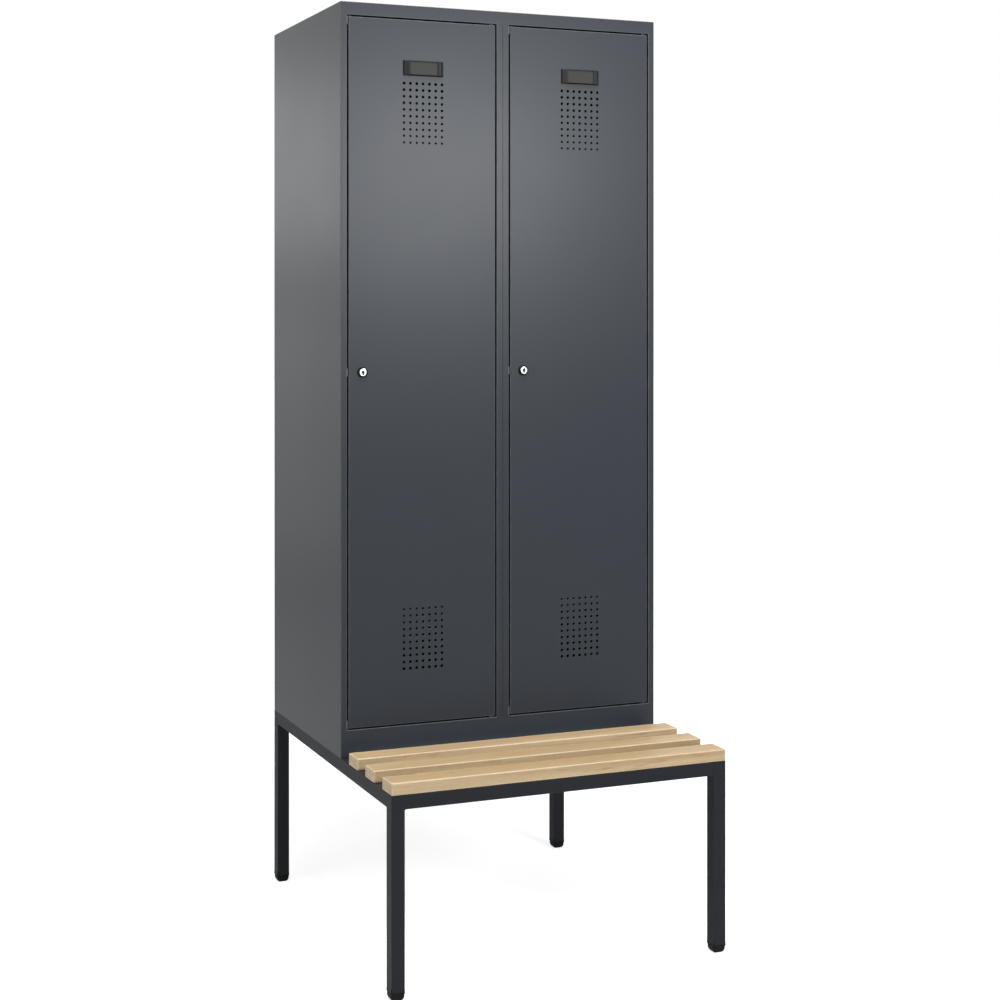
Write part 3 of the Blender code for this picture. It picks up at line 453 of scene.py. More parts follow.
@dataclass
class Effects:
    """Shader node groups that several finishes share, each made once.

    A scale is in repeats per metre. A range is where an effect begins and where it is full.
    """

    coarse_scale: float = 0.31
    coarse_height: float = 0.6
    cloud_scale: float = 3.5
    # Patches of the edge colour, which is partly wear and partly a painted highlight
    edge_patch_scale: float = 45.0
    edge_patch_range: Pair = (0.35, 0.75)
    least_edge_patch: float = 0.5
    # Where the painted gap shade begins and where it fades out, behind the door's front
    gap_shade_start: Pair = (0.0003, 0.0012)
    gap_shade_end: Pair = (0.009, 0.019)
    upward_range: Pair = (0.5, 1.0)
    drift_scale: float = 9.0
    drift_range: Pair = (0.35, 0.75)
    band_scale: Triple = (1.1, 34.0, 30.0)
    band_range: Pair = (0.32, 0.68)
    fibre_scale: Triple = (9.0, 620.0, 620.0)
    fibre_range: Pair = (0.3, 0.7)
    fleck_scale: Triple = (110.0, 700.0, 700.0)
    fleck_range: Pair = (0.16, 0.30)
    stroke_scale: Triple = (17.0, 330.0, 330.0)
    stroke_range: Pair = (0.59, 0.73)
    end_range: Pair = (0.6, 0.9)
    line_scale: Triple = (6.0, 900.0, 900.0)
    line_share: float = 0.6
    stain_scale: float = 60.0

    def __post_init__(self) -> None:
        """Make the groups."""
        self.coat = self._coat_texture()
        # Edge colour that is partly wear and partly a painted highlight
        self.wear_and_highlight = self._mask("worn_and_lit_edges", self._worn_and_lit_edges)
        # Painted shade in door gaps and punched holes
        self.gap_shade_group = self._mask("painted_gap_shade", self._painted_gap_shade)
        self.dust = self._mask("settled_dust", self._settled_dust)
        self.wood = self._wood_grain()
        self.lines = self._drawn_lines()

    @staticmethod
    def _open(name: str, inputs: dict[str, str],
              outputs: Sequence[str]) -> tuple[Desk, bpy.types.Node, bpy.types.Node]:
        """Start a group.

        Args:
            name: Name of the group.
            inputs: Kind of each input socket by its name.
            outputs: Names of the output sockets, which are all values.

        Returns:
            The desk to work on, and the group's input and output nodes.
        """
        tree = bpy.data.node_groups.new(name, "ShaderNodeTree")
        for way, sockets in (("INPUT", inputs), ("OUTPUT", dict.fromkeys(outputs, "Float"))):
            for label, kind in sockets.items():
                tree.interface.new_socket(name=label, in_out=way, socket_type=f"NodeSocket{kind}")
        desk = Desk(tree)
        return desk, desk.add("NodeGroupInput"), desk.add("NodeGroupOutput")

    def _mask(self, name: str, build: Callable[[Desk, Socket], Socket]) -> bpy.types.NodeTree:
        """Make a group that puts out a mask, times the amount that it is given.

        Args:
            name: Name of the group.
            build: Builds the mask from the coordinates.

        Returns:
            The group.
        """
        desk, given, result = self._open(name, {"Vector": "Vector", "Amount": "Float"}, ["Mask"])
        mask = build(desk, given.outputs["Vector"])
        desk.put(result.inputs["Mask"], desk.calc("MULTIPLY", mask, given.outputs["Amount"]))
        return desk.tree

    def _worn_and_lit_edges(self, desk: Desk, vector: Socket) -> Socket:
        """Patches along the narrow faces of folds and cut edges: partly rubbed wear, partly a
        painted highlight.
        """
        edge = desk.add("ShaderNodeAttribute", attribute_name="edge").outputs["Fac"]
        patches = desk.noise(vector, self.edge_patch_scale, 5.0, 0.7)
        rubbed_and_lit = desk.between(patches, *self.edge_patch_range, self.least_edge_patch, 1.0)
        return desk.calc("MULTIPLY", edge, rubbed_and_lit)

    def _painted_gap_shade(self, desk: Desk, vector: Socket) -> Socket:
        """Painted shade, darker and duller, in the first millimetres inside a door gap or a punched
        hole.
        """
        depth = desk.parts(vector)["Y"]
        recess = desk.add("ShaderNodeAttribute", attribute_name="recess").outputs["Fac"]
        starts = desk.between(depth, *(CAD_FRONT + reach for reach in self.gap_shade_start))
        fades = desk.between(depth, *(CAD_FRONT + reach for reach in self.gap_shade_end), 1.0, 0.0)
        return desk.calc("MULTIPLY", recess, desk.calc("MULTIPLY", starts, fades))

    def _settled_dust(self, desk: Desk, vector: Socket) -> Socket:
        """The fine dust on what faces up."""
        normal = desk.add("ShaderNodeTexCoord").outputs["Normal"]
        upward = desk.between(desk.parts(normal)["Z"], *self.upward_range)
        drift = desk.between(desk.noise(vector, self.drift_scale, 6.0, 0.65), *self.drift_range)
        return desk.calc("MULTIPLY", upward, drift)

    def _coat_texture(self) -> bpy.types.NodeTree:
        """Fine peel of a baked coat or a mould, and slow clouds in it."""
        desk, given, result = self._open("coat_texture", {"Vector": "Vector", "Scale": "Float"},
                                         ["Height", "Clouds"])
        vector, scale = given.outputs["Vector"], given.outputs["Scale"]
        fine = desk.noise(vector, scale, 2.0)
        coarse = desk.noise(vector, desk.calc("MULTIPLY", scale, self.coarse_scale), 1.0)
        height = desk.calc("ADD", fine, desk.calc("MULTIPLY", coarse, self.coarse_height))
        desk.put(result.inputs["Height"], height)
        desk.put(result.inputs["Clouds"], desk.noise(vector, self.cloud_scale, 4.0))
        return desk.tree

    def _wood_grain(self) -> bpy.types.NodeTree:
        """Bands, fibres, flecks and dark strokes of beech that runs along X, and its cut ends."""
        desk, given, result = self._open("wood_grain", {"Vector": "Vector"},
                                         ["Bands", "Fibres", "Flecks", "Strokes", "End"])
        vector = given.outputs["Vector"]
        bands = desk.noise(desk.scaled(vector, self.band_scale), 1.0)
        fibres = desk.noise(desk.scaled(vector, self.fibre_scale), 1.0, 3.0, 0.65)
        strokes = desk.noise(desk.scaled(vector, self.stroke_scale), 1.0, 2.0, 0.45)
        cells = desk.add("ShaderNodeTexVoronoi", feature="F1")
        desk.put(cells.inputs["Vector"], desk.scaled(vector, self.fleck_scale))
        desk.put(cells.inputs["Scale"], 1.0)
        flecks = desk.between(cells.outputs["Distance"], *self.fleck_range, 1.0, 0.0)
        normal = desk.add("ShaderNodeTexCoord").outputs["Normal"]
        sideways = desk.calc("ABSOLUTE", desk.parts(normal)["X"])
        for name, value in (("Bands", desk.between(bands, *self.band_range)),
                            ("Fibres", desk.between(fibres, *self.fibre_range)),
                            ("Flecks", flecks),
                            ("Strokes", desk.between(strokes, *self.stroke_range)),
                            ("End", desk.between(sideways, *self.end_range))):
            desk.put(result.inputs[name], value)
        return desk.tree

    def _drawn_lines(self) -> bpy.types.NodeTree:
        """Fine lines that drawing or turning leaves in metal, and faint stains."""
        desk, given, result = self._open("drawn_lines", {"Vector": "Vector"}, ["Lines"])
        vector = given.outputs["Vector"]
        lines = desk.noise(desk.scaled(vector, self.line_scale), 1.0, 2.0)
        stains = desk.noise(vector, self.stain_scale, 4.0)
        desk.put(result.inputs["Lines"],
                 desk.calc("ADD", desk.calc("MULTIPLY", lines, self.line_share),
                           desk.calc("MULTIPLY", stains, 1 - self.line_share)))
        return desk.tree


def open_material(name: str) -> tuple[bpy.types.Material, Desk, bpy.types.Node, Socket]:
    """Start a node material.

    Args:
        name: The finish it is for.

    Returns:
        The material, the desk to work on, the Principled shader and the Object coordinates.
    """
    made = bpy.data.materials.new(name + "_finish")
    made.use_nodes = True
    desk = Desk(made.node_tree)
    shader = made.node_tree.nodes["Principled BSDF"]
    return made, desk, shader, desk.add("ShaderNodeTexCoord").outputs["Object"]


@dataclass(frozen=True)
class Coating:
    """A baked paint, moulded plastic, rubber or card: a coloured skin with a fine texture.

    The edge colour, partly wear and partly a painted highlight, shows along edges, the dust on
    what faces up, and a painted shade in the first millimetres of a door gap or a punched hole.
    """

    slot: Finish
    colour: Colour
    rubbed_and_lit: Colour
    roughness: float
    specular: float = 0.5
    texture_scale: float = 900.0
    texture_depth: float = 0.00001
    clouding: float = 0.03
    cloud_range: Pair = (0.3, 0.7)
    unevenness: float = 0.008
    wear_and_highlight: float = 0.0
    dust: float = 0.0
    dust_colour: Colour = (0.30, 0.29, 0.27)
    gap_shade: float = 0.0
    gap_shade_colour: Colour = (0.002, 0.002, 0.0025)
    gap_shade_dullness: float = 0.6

    def material(self, effects: Effects) -> bpy.types.Material:
        """Build the material."""
        made, desk, shader, vector = open_material(self.slot.value)
        coat = desk.effect(effects.coat, Vector=vector, Scale=self.texture_scale)
        deep = tuple(part * (1 - self.clouding) for part in self.colour)
        pale = tuple(part * (1 + self.clouding) for part in self.colour)
        colour = desk.mix(coat["Clouds"], (*deep, 1), (*pale, 1))
        roughness = desk.between(coat["Clouds"], *self.cloud_range,
                                 self.roughness - self.unevenness, self.roughness + self.unevenness)
        # Mix in the edge colour (partly wear, partly a painted highlight), the dust, and the painted
        # shade of gaps and holes
        for group, amount, other in ((effects.wear_and_highlight, self.wear_and_highlight, self.rubbed_and_lit),
                                     (effects.dust, self.dust, self.dust_colour),
                                     (effects.gap_shade_group, self.gap_shade, self.gap_shade_colour)):
            if not amount:
                continue
            mask = desk.effect(group, Vector=vector, Amount=amount)["Mask"]
            colour = desk.mix(mask, colour, (*other, 1))
            # The painted gap shade also dulls the finish there
            if group is effects.gap_shade_group:
                dull = desk.calc("MULTIPLY", mask, self.gap_shade_dullness)
                roughness = desk.calc("MINIMUM", desk.calc("ADD", roughness, dull), 1.0)
        desk.put(shader.inputs["Base Color"], colour)
        desk.put(shader.inputs["Roughness"], roughness)
        shader.inputs["Specular IOR Level"].default_value = self.specular
        add_bump(desk, shader, coat["Height"], self.texture_depth)
        return made


@dataclass(frozen=True)
class Metal:
    """A bare or plated metal with fine lines in it."""

    slot: Finish
    colour: Colour
    stained: Colour
    roughness: float
    stain_range: Pair = (0.35, 0.65)
    sheen_range: Pair = (0.3, 0.7)
    dulled: float = 0.07
    polished: float = 0.04
    line_depth: float = 0.000004

    def material(self, effects: Effects) -> bpy.types.Material:
        """Build the material."""
        made, desk, shader, vector = open_material(self.slot.value)
        lines = desk.effect(effects.lines, Vector=vector)["Lines"]
        stains = desk.between(lines, *self.stain_range)
        desk.put(shader.inputs["Base Color"],
                 desk.mix(stains, (*self.stained, 1), (*self.colour, 1)))
        desk.put(shader.inputs["Roughness"],
                 desk.between(lines, *self.sheen_range, self.roughness + self.dulled,
                              self.roughness - self.polished))
        shader.inputs["Metallic"].default_value = 1.0
        add_bump(desk, shader, lines, self.line_depth)
        return made


@dataclass(frozen=True)
class Timber:
    """Lacquered beech. A share is how much of a colour its part of the grain shows at most."""

    slot: Finish
    pale: Colour = (0.502, 0.386, 0.236)
    deep: Colour = (0.381, 0.268, 0.144)
    fibre_share: float = 0.40
    stroke: Colour = (0.250, 0.145, 0.065)
    stroke_share: float = 0.55
    fleck: Colour = (0.270, 0.168, 0.082)
    fleck_share: float = 0.45
    end: Colour = (0.560, 0.430, 0.278)
    ring_scale: Triple = (1.0, 60.0, 260.0)
    ring_tilt: float = 0.5
    ring_range: Pair = (0.35, 0.65)
    ring_share: float = 0.7
    # Colour of the edges: partly sanded wear, partly a painted highlight along them
    sanded_and_lit: Colour = (0.660, 0.550, 0.395)
    wear_and_highlight: float = 0.6
    roughness: float = 0.42
    sheen_range: Pair = (0.2, 0.8)
    polished: float = 0.04
    dulled: float = 0.10
    specular: float = 0.28
    grain_depth: float = 0.00003

    def material(self, effects: Effects) -> bpy.types.Material:
        """Build the material."""
        made, desk, shader, vector = open_material(self.slot.value)
        grain = desk.effect(effects.wood, Vector=vector)
        along = desk.mix(grain["Bands"], (*self.pale, 1), (*self.deep, 1))
        for name, share, other in (("Fibres", self.fibre_share, self.deep),
                                   ("Strokes", self.stroke_share, self.stroke),
                                   ("Flecks", self.fleck_share, self.fleck)):
            along = desk.mix(desk.calc("MULTIPLY", grain[name], share), along, (*other, 1))
        rings = desk.noise(desk.scaled(vector, self.ring_scale, (self.ring_tilt, 0, 0)), 1.0)
        end = desk.mix(desk.between(rings, *self.ring_range, 0.0, self.ring_share),
                       (*self.end, 1), (*self.deep, 1))
        colour = desk.mix(grain["End"], along, end)
        # Edges: partly sanded wear and partly a painted highlight
        edge = desk.effect(effects.wear_and_highlight, Vector=vector, Amount=self.wear_and_highlight)["Mask"]
        desk.put(shader.inputs["Base Color"], desk.mix(edge, colour, (*self.sanded_and_lit, 1)))
        desk.put(shader.inputs["Roughness"],
                 desk.between(grain["Fibres"], *self.sheen_range, self.roughness - self.polished,
                              self.roughness + self.dulled))
        shader.inputs["Specular IOR Level"].default_value = self.specular
        add_bump(desk, shader, grain["Fibres"], self.grain_depth)
        return made


def add_bump(desk: Desk, shader: bpy.types.Node, height: Socket, depth: float) -> None:
    """Raise a shader's surface by a height that varies over it, up to a depth in metres."""
    bump = desk.add("ShaderNodeBump")
    desk.put(bump.inputs["Height"], height)
    bump.inputs["Distance"].default_value = depth
    bump.inputs["Strength"].default_value = 1.0
    desk.put(shader.inputs["Normal"], bump.outputs["Normal"])


FINISHES: tuple[Coating | Metal | Timber, ...] = (
    # The body paint's lighter edges are partly a painted highlight, and a near-black painted shade
    # fills the first millimetres of its door gaps and holes
    Coating(Finish.BODY_PAINT, (0.028, 0.033, 0.041), (0.150, 0.155, 0.162), 0.33,
            specular=0.17, wear_and_highlight=0.60, dust=0.06, gap_shade=0.9),
    Coating(Finish.FRAME_PAINT, (0.0155, 0.0170, 0.0200), (0.045, 0.047, 0.051), 0.46,
            specular=0.09, texture_depth=0.00002, wear_and_highlight=0.20, dust=0.06),
    Timber(Finish.BEECH),
    Coating(Finish.GLIDE_PLASTIC, (0.005, 0.005, 0.005), (0.020, 0.020, 0.020), 0.55,
            specular=0.12, texture_scale=1500.0),
    # The label holder's lighter edges are partly wear and partly a painted highlight, on the rib
    # most of all
    Coating(Finish.LABEL_PLASTIC, (0.014, 0.014, 0.014), (0.120, 0.120, 0.120), 0.46,
            specular=0.10, texture_scale=1500.0, wear_and_highlight=0.4),
    Coating(Finish.LABEL_CARD, (0.030, 0.030, 0.029), (0.110, 0.110, 0.110), 0.50,
            specular=0.16, texture_scale=600.0, clouding=0.05, wear_and_highlight=0.4),
    Coating(Finish.LOCK_BLACK, (0.004, 0.004, 0.0045), (0.020, 0.020, 0.020), 0.40,
            specular=0.09, texture_scale=1500.0),
    Metal(Finish.LOCK_NICKEL, (0.86, 0.86, 0.84), (0.80, 0.79, 0.76), 0.24),
    Metal(Finish.ZINC_STEEL, (0.24, 0.245, 0.255), (0.18, 0.185, 0.19), 0.55),
    Metal(Finish.RAIL_STEEL, (0.70, 0.71, 0.72), (0.60, 0.61, 0.62), 0.28),
    Coating(Finish.HOOK_PLASTIC, (0.014, 0.014, 0.015), (0.040, 0.040, 0.040), 0.45,
            specular=0.40, texture_scale=1500.0),
    Coating(Finish.BUFFER_RUBBER, (0.085, 0.086, 0.089), (0.110, 0.110, 0.115), 0.60,
            specular=0.25, texture_scale=1200.0),
)


# Handing a piece over

@dataclass
class Workshop:
    """Dresses each piece, sets it on its body and reports it."""

    materials: dict[Finish, bpy.types.Material]
    smooth_angle: float = 38.0
    normal_weight: int = 50
    narrow: float = 0.0013
    level: float = 0.995
    recess_depth: float = 0.022
    turned_aside: float = 0.5

    @staticmethod
    def write_mask(piece: Object, name: str, values: list[float]) -> None:
        """Write a value for each face, where the finishes read it."""
        mask = piece.data.attributes.new(name, "FLOAT", "FACE")
        mask.data.foreach_set("value", values)

    def mark_narrow_faces(self, piece: Object) -> None:
        """Write which faces are the narrow ones of folds and cut edges."""
        values = []
        for face in piece.data.polygons:
            points = [piece.data.vertices[index].co for index in face.vertices]
            longest = max((b - a).length for a, b in zip(points, points[1:] + points[:1]))
            tilted = max(abs(part) for part in face.normal) < self.level
            values.append(float(tilted and face.area / longest < self.narrow))
        self.write_mask(piece, "edge", values)

    def mark_recesses(self, piece: Object) -> None:
        """Write which faces look sideways inside the door openings, close to the front; the body
        paint paints shade on them.
        """
        low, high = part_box("left_door_buffer")
        values = []
        for face in piece.data.polygons:
            x, y, z = face.center
            inside = abs(x) < -low.x + SHEET and low.z - SHEET < z < high.z + SHEET
            shallow = abs(y - CAD_FRONT) < self.recess_depth
            values.append(float(inside and shallow and abs(face.normal.y) < self.turned_aside))
        self.write_mask(piece, "recess", values)

    def hand_over(self, piece: Object, finish: Finish, body: str, *nodes: str) -> None:
        """Finish a piece.

        Args:
            piece: The piece, in place.
            finish: What it is dressed in.
            body: The CAD body it moves with.
            nodes: The CAD nodes it stands for.
        """
        piece.data.materials.clear()
        piece.data.materials.append(self.materials[finish])
        take(piece)
        bpy.ops.object.shade_smooth_by_angle(angle=math.radians(self.smooth_angle))
        modify(piece, "WEIGHTED_NORMAL", keep_sharp=True, weight=self.normal_weight)
        self.mark_narrow_faces(piece)
        self.mark_recesses(piece)
        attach(piece, body)
        if nodes:
            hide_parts(*nodes)
        log.info("%s: %d faces in %s on %s", piece.name, len(piece.data.polygons), finish.value,
                 body)

    def hand_over_pair(self, piece: Object, finish: Finish, body: str, node: str,
                       stands_in: bool = True) -> None:
        """Copy a left-hand piece to the right and finish both.

        Args:
            piece: The left-hand piece, in place.
            finish: What both are dressed in.
            body: The CAD body that the left-hand one moves with.
            node: The left-hand CAD node that the copy is placed by.
            stands_in: Whether the piece stands for that node.
        """
        other = twin(piece, node)
        for made, side in ((piece, Side.LEFT), (other, Side.RIGHT)):
            nodes = [node.replace("left", side.value)] if stands_in else []
            self.hand_over(made, finish, body.replace("left", side.value), *nodes)

    def carry_over(self, node: str, finish: Finish) -> None:
        """Give a CAD node that stays its better material."""
        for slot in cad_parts[node].material_slots:
            slot.material = self.materials[finish]
        log.info("%s: carried over in %s", node, finish.value)


# Bench frame

@dataclass
class BenchFrame:
    """Legs and rails of square tube with weld beads, glides in the feet and the body's bolts."""

    workshop: Workshop
    wall: float = 0.002
    corner: float = 0.0013
    sole_corner: float = 0.0045
    seam: float = 0.0009
    glide_height: float = 0.018
    sole: tuple[Pair, ...] = (
        (0.0150, 0.0176), (0.0143, 0.0172), (0.0143, 0.0164), (0.0150, 0.0160), (0.0150, 0.0100),
        (0.0146, 0.0073), (0.0136, 0.0046), (0.0121, 0.0023), (0.0104, 0.0008), (0.0088, 0.0))
    plug_gap: float = 0.0026
    plug_taper: float = 0.94
    bead_radius: float = 0.0022
    bead_ripples: int = 9
    bead_dip: float = 0.82
    bead_tip: float = 0.3
    fill_round: float = 0.97
    head_height: float = 0.0055
    head_radius: float = 0.0075
    head_round: float = 0.0005
    nut_rise: float = 1.5
    shank_radius: float = 0.004
    shank_tip: float = 0.7
    thread_turns: int = 6
    thread_pitch: float = 0.00045
    thread_flank: float = 0.0002
    thread_root: float = 0.9

    def build(self) -> None:
        """Model and dress the bench frame."""
        for end in ("front", "rear"):
            for side in Side:
                self.tube(f"frame_leg_{end}_{side.value}", Vector((0, 0, 1)), capped=True)
                self.glide(f"foot_glide_{end}_{side.value}")
        for name in ("front", "rear", "cross"):
            self.tube(f"frame_{name}_rail", Vector((1, 0, 0)))
        for side in Side:
            self.tube(f"frame_{side.value}_rail", Vector((0, 1, 0)))
        self.welds()
        self.bolts()

    def tube(self, node: str, axis: Vector, capped: bool = False) -> None:
        """Model a length of square tube.

        Args:
            node: The CAD node it stands for.
            axis: The way the tube runs.
            capped: Whether its far end is closed.
        """
        piece = add_block(node + "_tube", *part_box(node))
        with editing(piece):
            pick(Kind.EDGE, lambda _, way: abs(way.dot(axis)) > STRAIGHT)
            round_selected(self.corner, 4)
            pick(Kind.FACE, lambda _, way: abs(way.dot(axis)) > STRAIGHT and
                 not (capped and way.dot(axis) > 0))
            bpy.ops.mesh.delete(type="FACE")
        modify(piece, "SOLIDIFY", thickness=self.wall, offset=-1, use_even_offset=True)
        self.workshop.hand_over(piece, Finish.FRAME_PAINT, "locker", node)

    def glide(self, node: str) -> None:
        """Model a foot glide: a sole rounded to the floor, a groove under the tube and a plug."""
        low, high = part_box(node)
        top = low.z + self.glide_height
        middle = (low + high) / 2
        piece = add_block(node + "_sole", (low.x, low.y, low.z + self.sole[0][1]),
                          (high.x, high.y, top))
        with editing(piece):
            pick(Kind.EDGE, lambda _, way: abs(way.z) > STRAIGHT)
            round_selected(self.sole_corner, 6)
            pick(Kind.FACE, lambda _, way: way.z < -FACING)
            for (last, height), (half, next_height) in zip(self.sole, self.sole[1:]):
                extrude((0, 0, next_height - height))
                bpy.ops.transform.resize(value=(half / last, half / last, 1),
                                         center_override=middle)
            pick(Kind.FACE, lambda _, way: way.z > FACING)
            bpy.ops.mesh.inset(thickness=self.plug_gap)
            extrude((0, 0, high.z - top))
            bpy.ops.transform.resize(value=(self.plug_taper, self.plug_taper, 1),
                                     center_override=middle)
        self.workshop.hand_over(piece, Finish.GLIDE_PLASTIC, "locker", node)

    def bead(self, start: Sequence[float], end: Sequence[float]) -> Object:
        """Model a weld bead between two points as a rippled, tapered rod."""
        run = Vector(end) - Vector(start)
        steps = self.bead_ripples * 2
        rings = [(self.bead_radius * self.bead_tip, 0.0)]
        for step in range(1, steps):
            swell = 1.0 if step % 2 else self.bead_dip
            rings.append((self.bead_radius * swell, run.length * step / steps))
        rings.append((self.bead_radius * self.bead_tip, run.length))
        return turned("weld", rings, start, run, 10)

    def welds(self) -> None:
        """Model the beads under the joints and on their inner sides, and the flush welds."""
        inset, beads = self.corner, []
        for rail in ("front", "rear", "cross"):
            low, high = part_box(f"frame_{rail}_rail")
            inner = high.y if rail == "front" else low.y
            for x in (low.x, high.x):
                beads.append(self.bead((x, low.y + inset, low.z), (x, high.y - inset, low.z)))
                beads.append(self.bead((x, inner, low.z + inset), (x, inner, high.z - inset)))
        for side in Side:
            low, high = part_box(f"frame_{side.value}_rail")
            inner = high.x if side is Side.LEFT else low.x
            for y in (low.y, high.y):
                beads.append(self.bead((low.x + inset, y, low.z), (high.x - inset, y, low.z)))
                beads.append(self.bead((inner, y, low.z + inset), (inner, y, high.z - inset)))
        fills = [self.ground_weld(end, side, across) for end in ("front", "rear") for side in Side
                 for across in (True, False)]
        for name, parts in (("frame_weld_beads", beads), ("frame_ground_welds", fills)):
            piece = merge(parts)
            piece.name = piece.data.name = name
            self.workshop.hand_over(piece, Finish.FRAME_PAINT, "locker")

    def ground_weld(self, end: str, side: Side, across: bool) -> Object:
        """Model the weld, ground flush, that fills the rounded corner between a leg and a rail.

        Args:
            end: Front or rear leg.
            side: Left or right leg.
            across: Whether the rail is the one across, on the leg's front or rear face.

        Returns:
            The weld. Two of them stop short of the rail, where the seam still shows.
        """
        low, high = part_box(f"frame_leg_{end}_{side.value}")
        rail_low, rail_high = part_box(f"frame_{end if across else side.value}_rail")
        left, front = side is Side.LEFT, end == "front"
        run, outer = (0, 1) if across else (1, 0)
        first, outside = (left, front) if across else (front, left)
        gap = self.seam if outside and not first else 0.0
        start, stop = low.copy(), high.copy()
        start.z, stop.z = rail_low.z, rail_high.z
        if first:
            start[run], stop[run] = high[run] - self.corner, rail_low[run] - gap
        else:
            start[run], stop[run] = rail_high[run] + gap, low[run] + self.corner
        if outside:
            stop[outer] = low[outer] + self.corner
        else:
            start[outer] = high[outer] - self.corner
        piece = add_block("ground_weld", start, stop)
        face = start[outer] if outside else stop[outer]
        with editing(piece):
            pick(Kind.EDGE, lambda place, way: abs(way[run]) > STRAIGHT and
                 near(place[outer], face))
            round_selected(self.corner * self.fill_round, 4)
        return piece

    def bolts(self) -> None:
        """Model a bolt with its nut, and copy it to the four places."""
        node, *others = [f"body_bolt_{end}_{side.value}" for end in ("front", "rear")
                         for side in Side]
        low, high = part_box(node)
        x, y = (low.x + high.x) / 2, (low.y + high.y) / 2
        head = add_rod(node + "_set", self.head_radius, self.head_height,
                       (x, y, low.z + self.head_height / 2), (0, 0, 1), 6)
        round_sharp(head, self.head_round, 2)
        nut_low = high.z - self.head_height * self.nut_rise
        nut = copy_by(head, "nut", (0, 0, nut_low - low.z))
        shank = [(self.shank_radius, low.z + self.head_height)]
        for turn in range(self.thread_turns):
            height = nut_low + self.head_height + turn * self.thread_pitch
            shank += [(self.shank_radius, height),
                      (self.shank_radius * self.thread_root, height + self.thread_flank)]
        shank.append((self.shank_radius * self.shank_tip, high.z))
        bolt = merge([head, nut, turned("shank", shank, (x, y, 0), (0, 0, 1), 24)])
        copies = [copy_by(bolt, other + "_set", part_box(other)[0] - low) for other in others]
        for made, target in zip((*copies, bolt), (*others, node)):
            self.workshop.hand_over(made, Finish.ZINC_STEEL, "locker", target)


@dataclass
class Seat:
    """Three beech slats and the pan-head screws that hold them from below the side rails."""

    workshop: Workshop
    places: tuple[str, ...] = ("front", "middle", "rear")
    edge_round: float = 0.0025
    screw_spread: float = 0.014
    head_radius: float = 0.0042
    head_height: float = 0.0024
    head_rings: tuple[Pair, ...] = ((0.55, 1.0), (0.85, 0.8), (1.0, 0.4), (1.0, 0.0))
    shank_radius: float = 0.0020
    bite: float = 0.018
    point_start: float = 0.85
    point: float = 0.15
    recess: float = 0.0014
    recess_shape: Pair = (1.5, 0.35)
    recess_floor: float = 0.45

    def build(self) -> None:
        """Model and dress the slats and their screws."""
        for place in self.places:
            self.slat(f"bench_slat_{place}")
        self.screws()

    def slat(self, node: str) -> None:
        """Model a slat with rounded edges."""
        piece = add_block(node + "_wood", *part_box(node))
        round_sharp(piece, self.edge_round, 5)
        self.workshop.hand_over(piece, Finish.BEECH, "locker", node)

    def screws(self) -> None:
        """Model one screw and copy it under each end of each slat."""
        rail_low, rail_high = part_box("frame_left_rail")
        x = (rail_low.x + rail_high.x) / 2
        spots = {}
        for side, across in ((Side.LEFT, x), (Side.RIGHT, -x)):
            for place in self.places:
                low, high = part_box(f"bench_slat_{place}")
                for letter, shift in (("a", -self.screw_spread), ("b", self.screw_spread)):
                    spots[f"slat_screw_{side.value}_{place}_{letter}"] = Vector(
                        (across, (low.y + high.y) / 2 + shift, rail_low.z))
        origin = next(iter(spots.values()))
        pattern = self.screw(origin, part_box(f"bench_slat_{self.places[0]}")[0].z)
        for name, spot in spots.items():
            made = copy_by(pattern, name, spot - origin)
            self.workshop.hand_over(made, Finish.ZINC_STEEL, "locker")
        bpy.data.objects.remove(pattern, do_unlink=True)

    def screw(self, spot: Vector, slat_bottom: float) -> Object:
        """Model a pan-head screw with a cross recess.

        Args:
            spot: The middle of its seat under the rail.
            slat_bottom: Height of the slat's underside.

        Returns:
            The screw.
        """
        reach = slat_bottom + self.bite - spot.z
        profile = [(self.head_radius * wide, -self.head_height * deep)
                   for wide, deep in self.head_rings]
        profile += [(self.shank_radius, 0), (self.shank_radius, reach * self.point_start),
                    (self.shank_radius * self.point, reach)]
        piece = turned("screw_pattern", profile, spot, (0, 0, 1), 20)
        long, short = (self.recess * share for share in self.recess_shape)
        bottom, top = -self.head_height * 1.5, -self.head_height * self.recess_floor
        for wide, deep in ((long, short), (short, long)):
            cross = add_block("cross", spot + Vector((-wide, -deep, bottom)),
                              spot + Vector((wide, deep, top)))
            combine(piece, cross, "DIFFERENCE")
        return piece


# Body

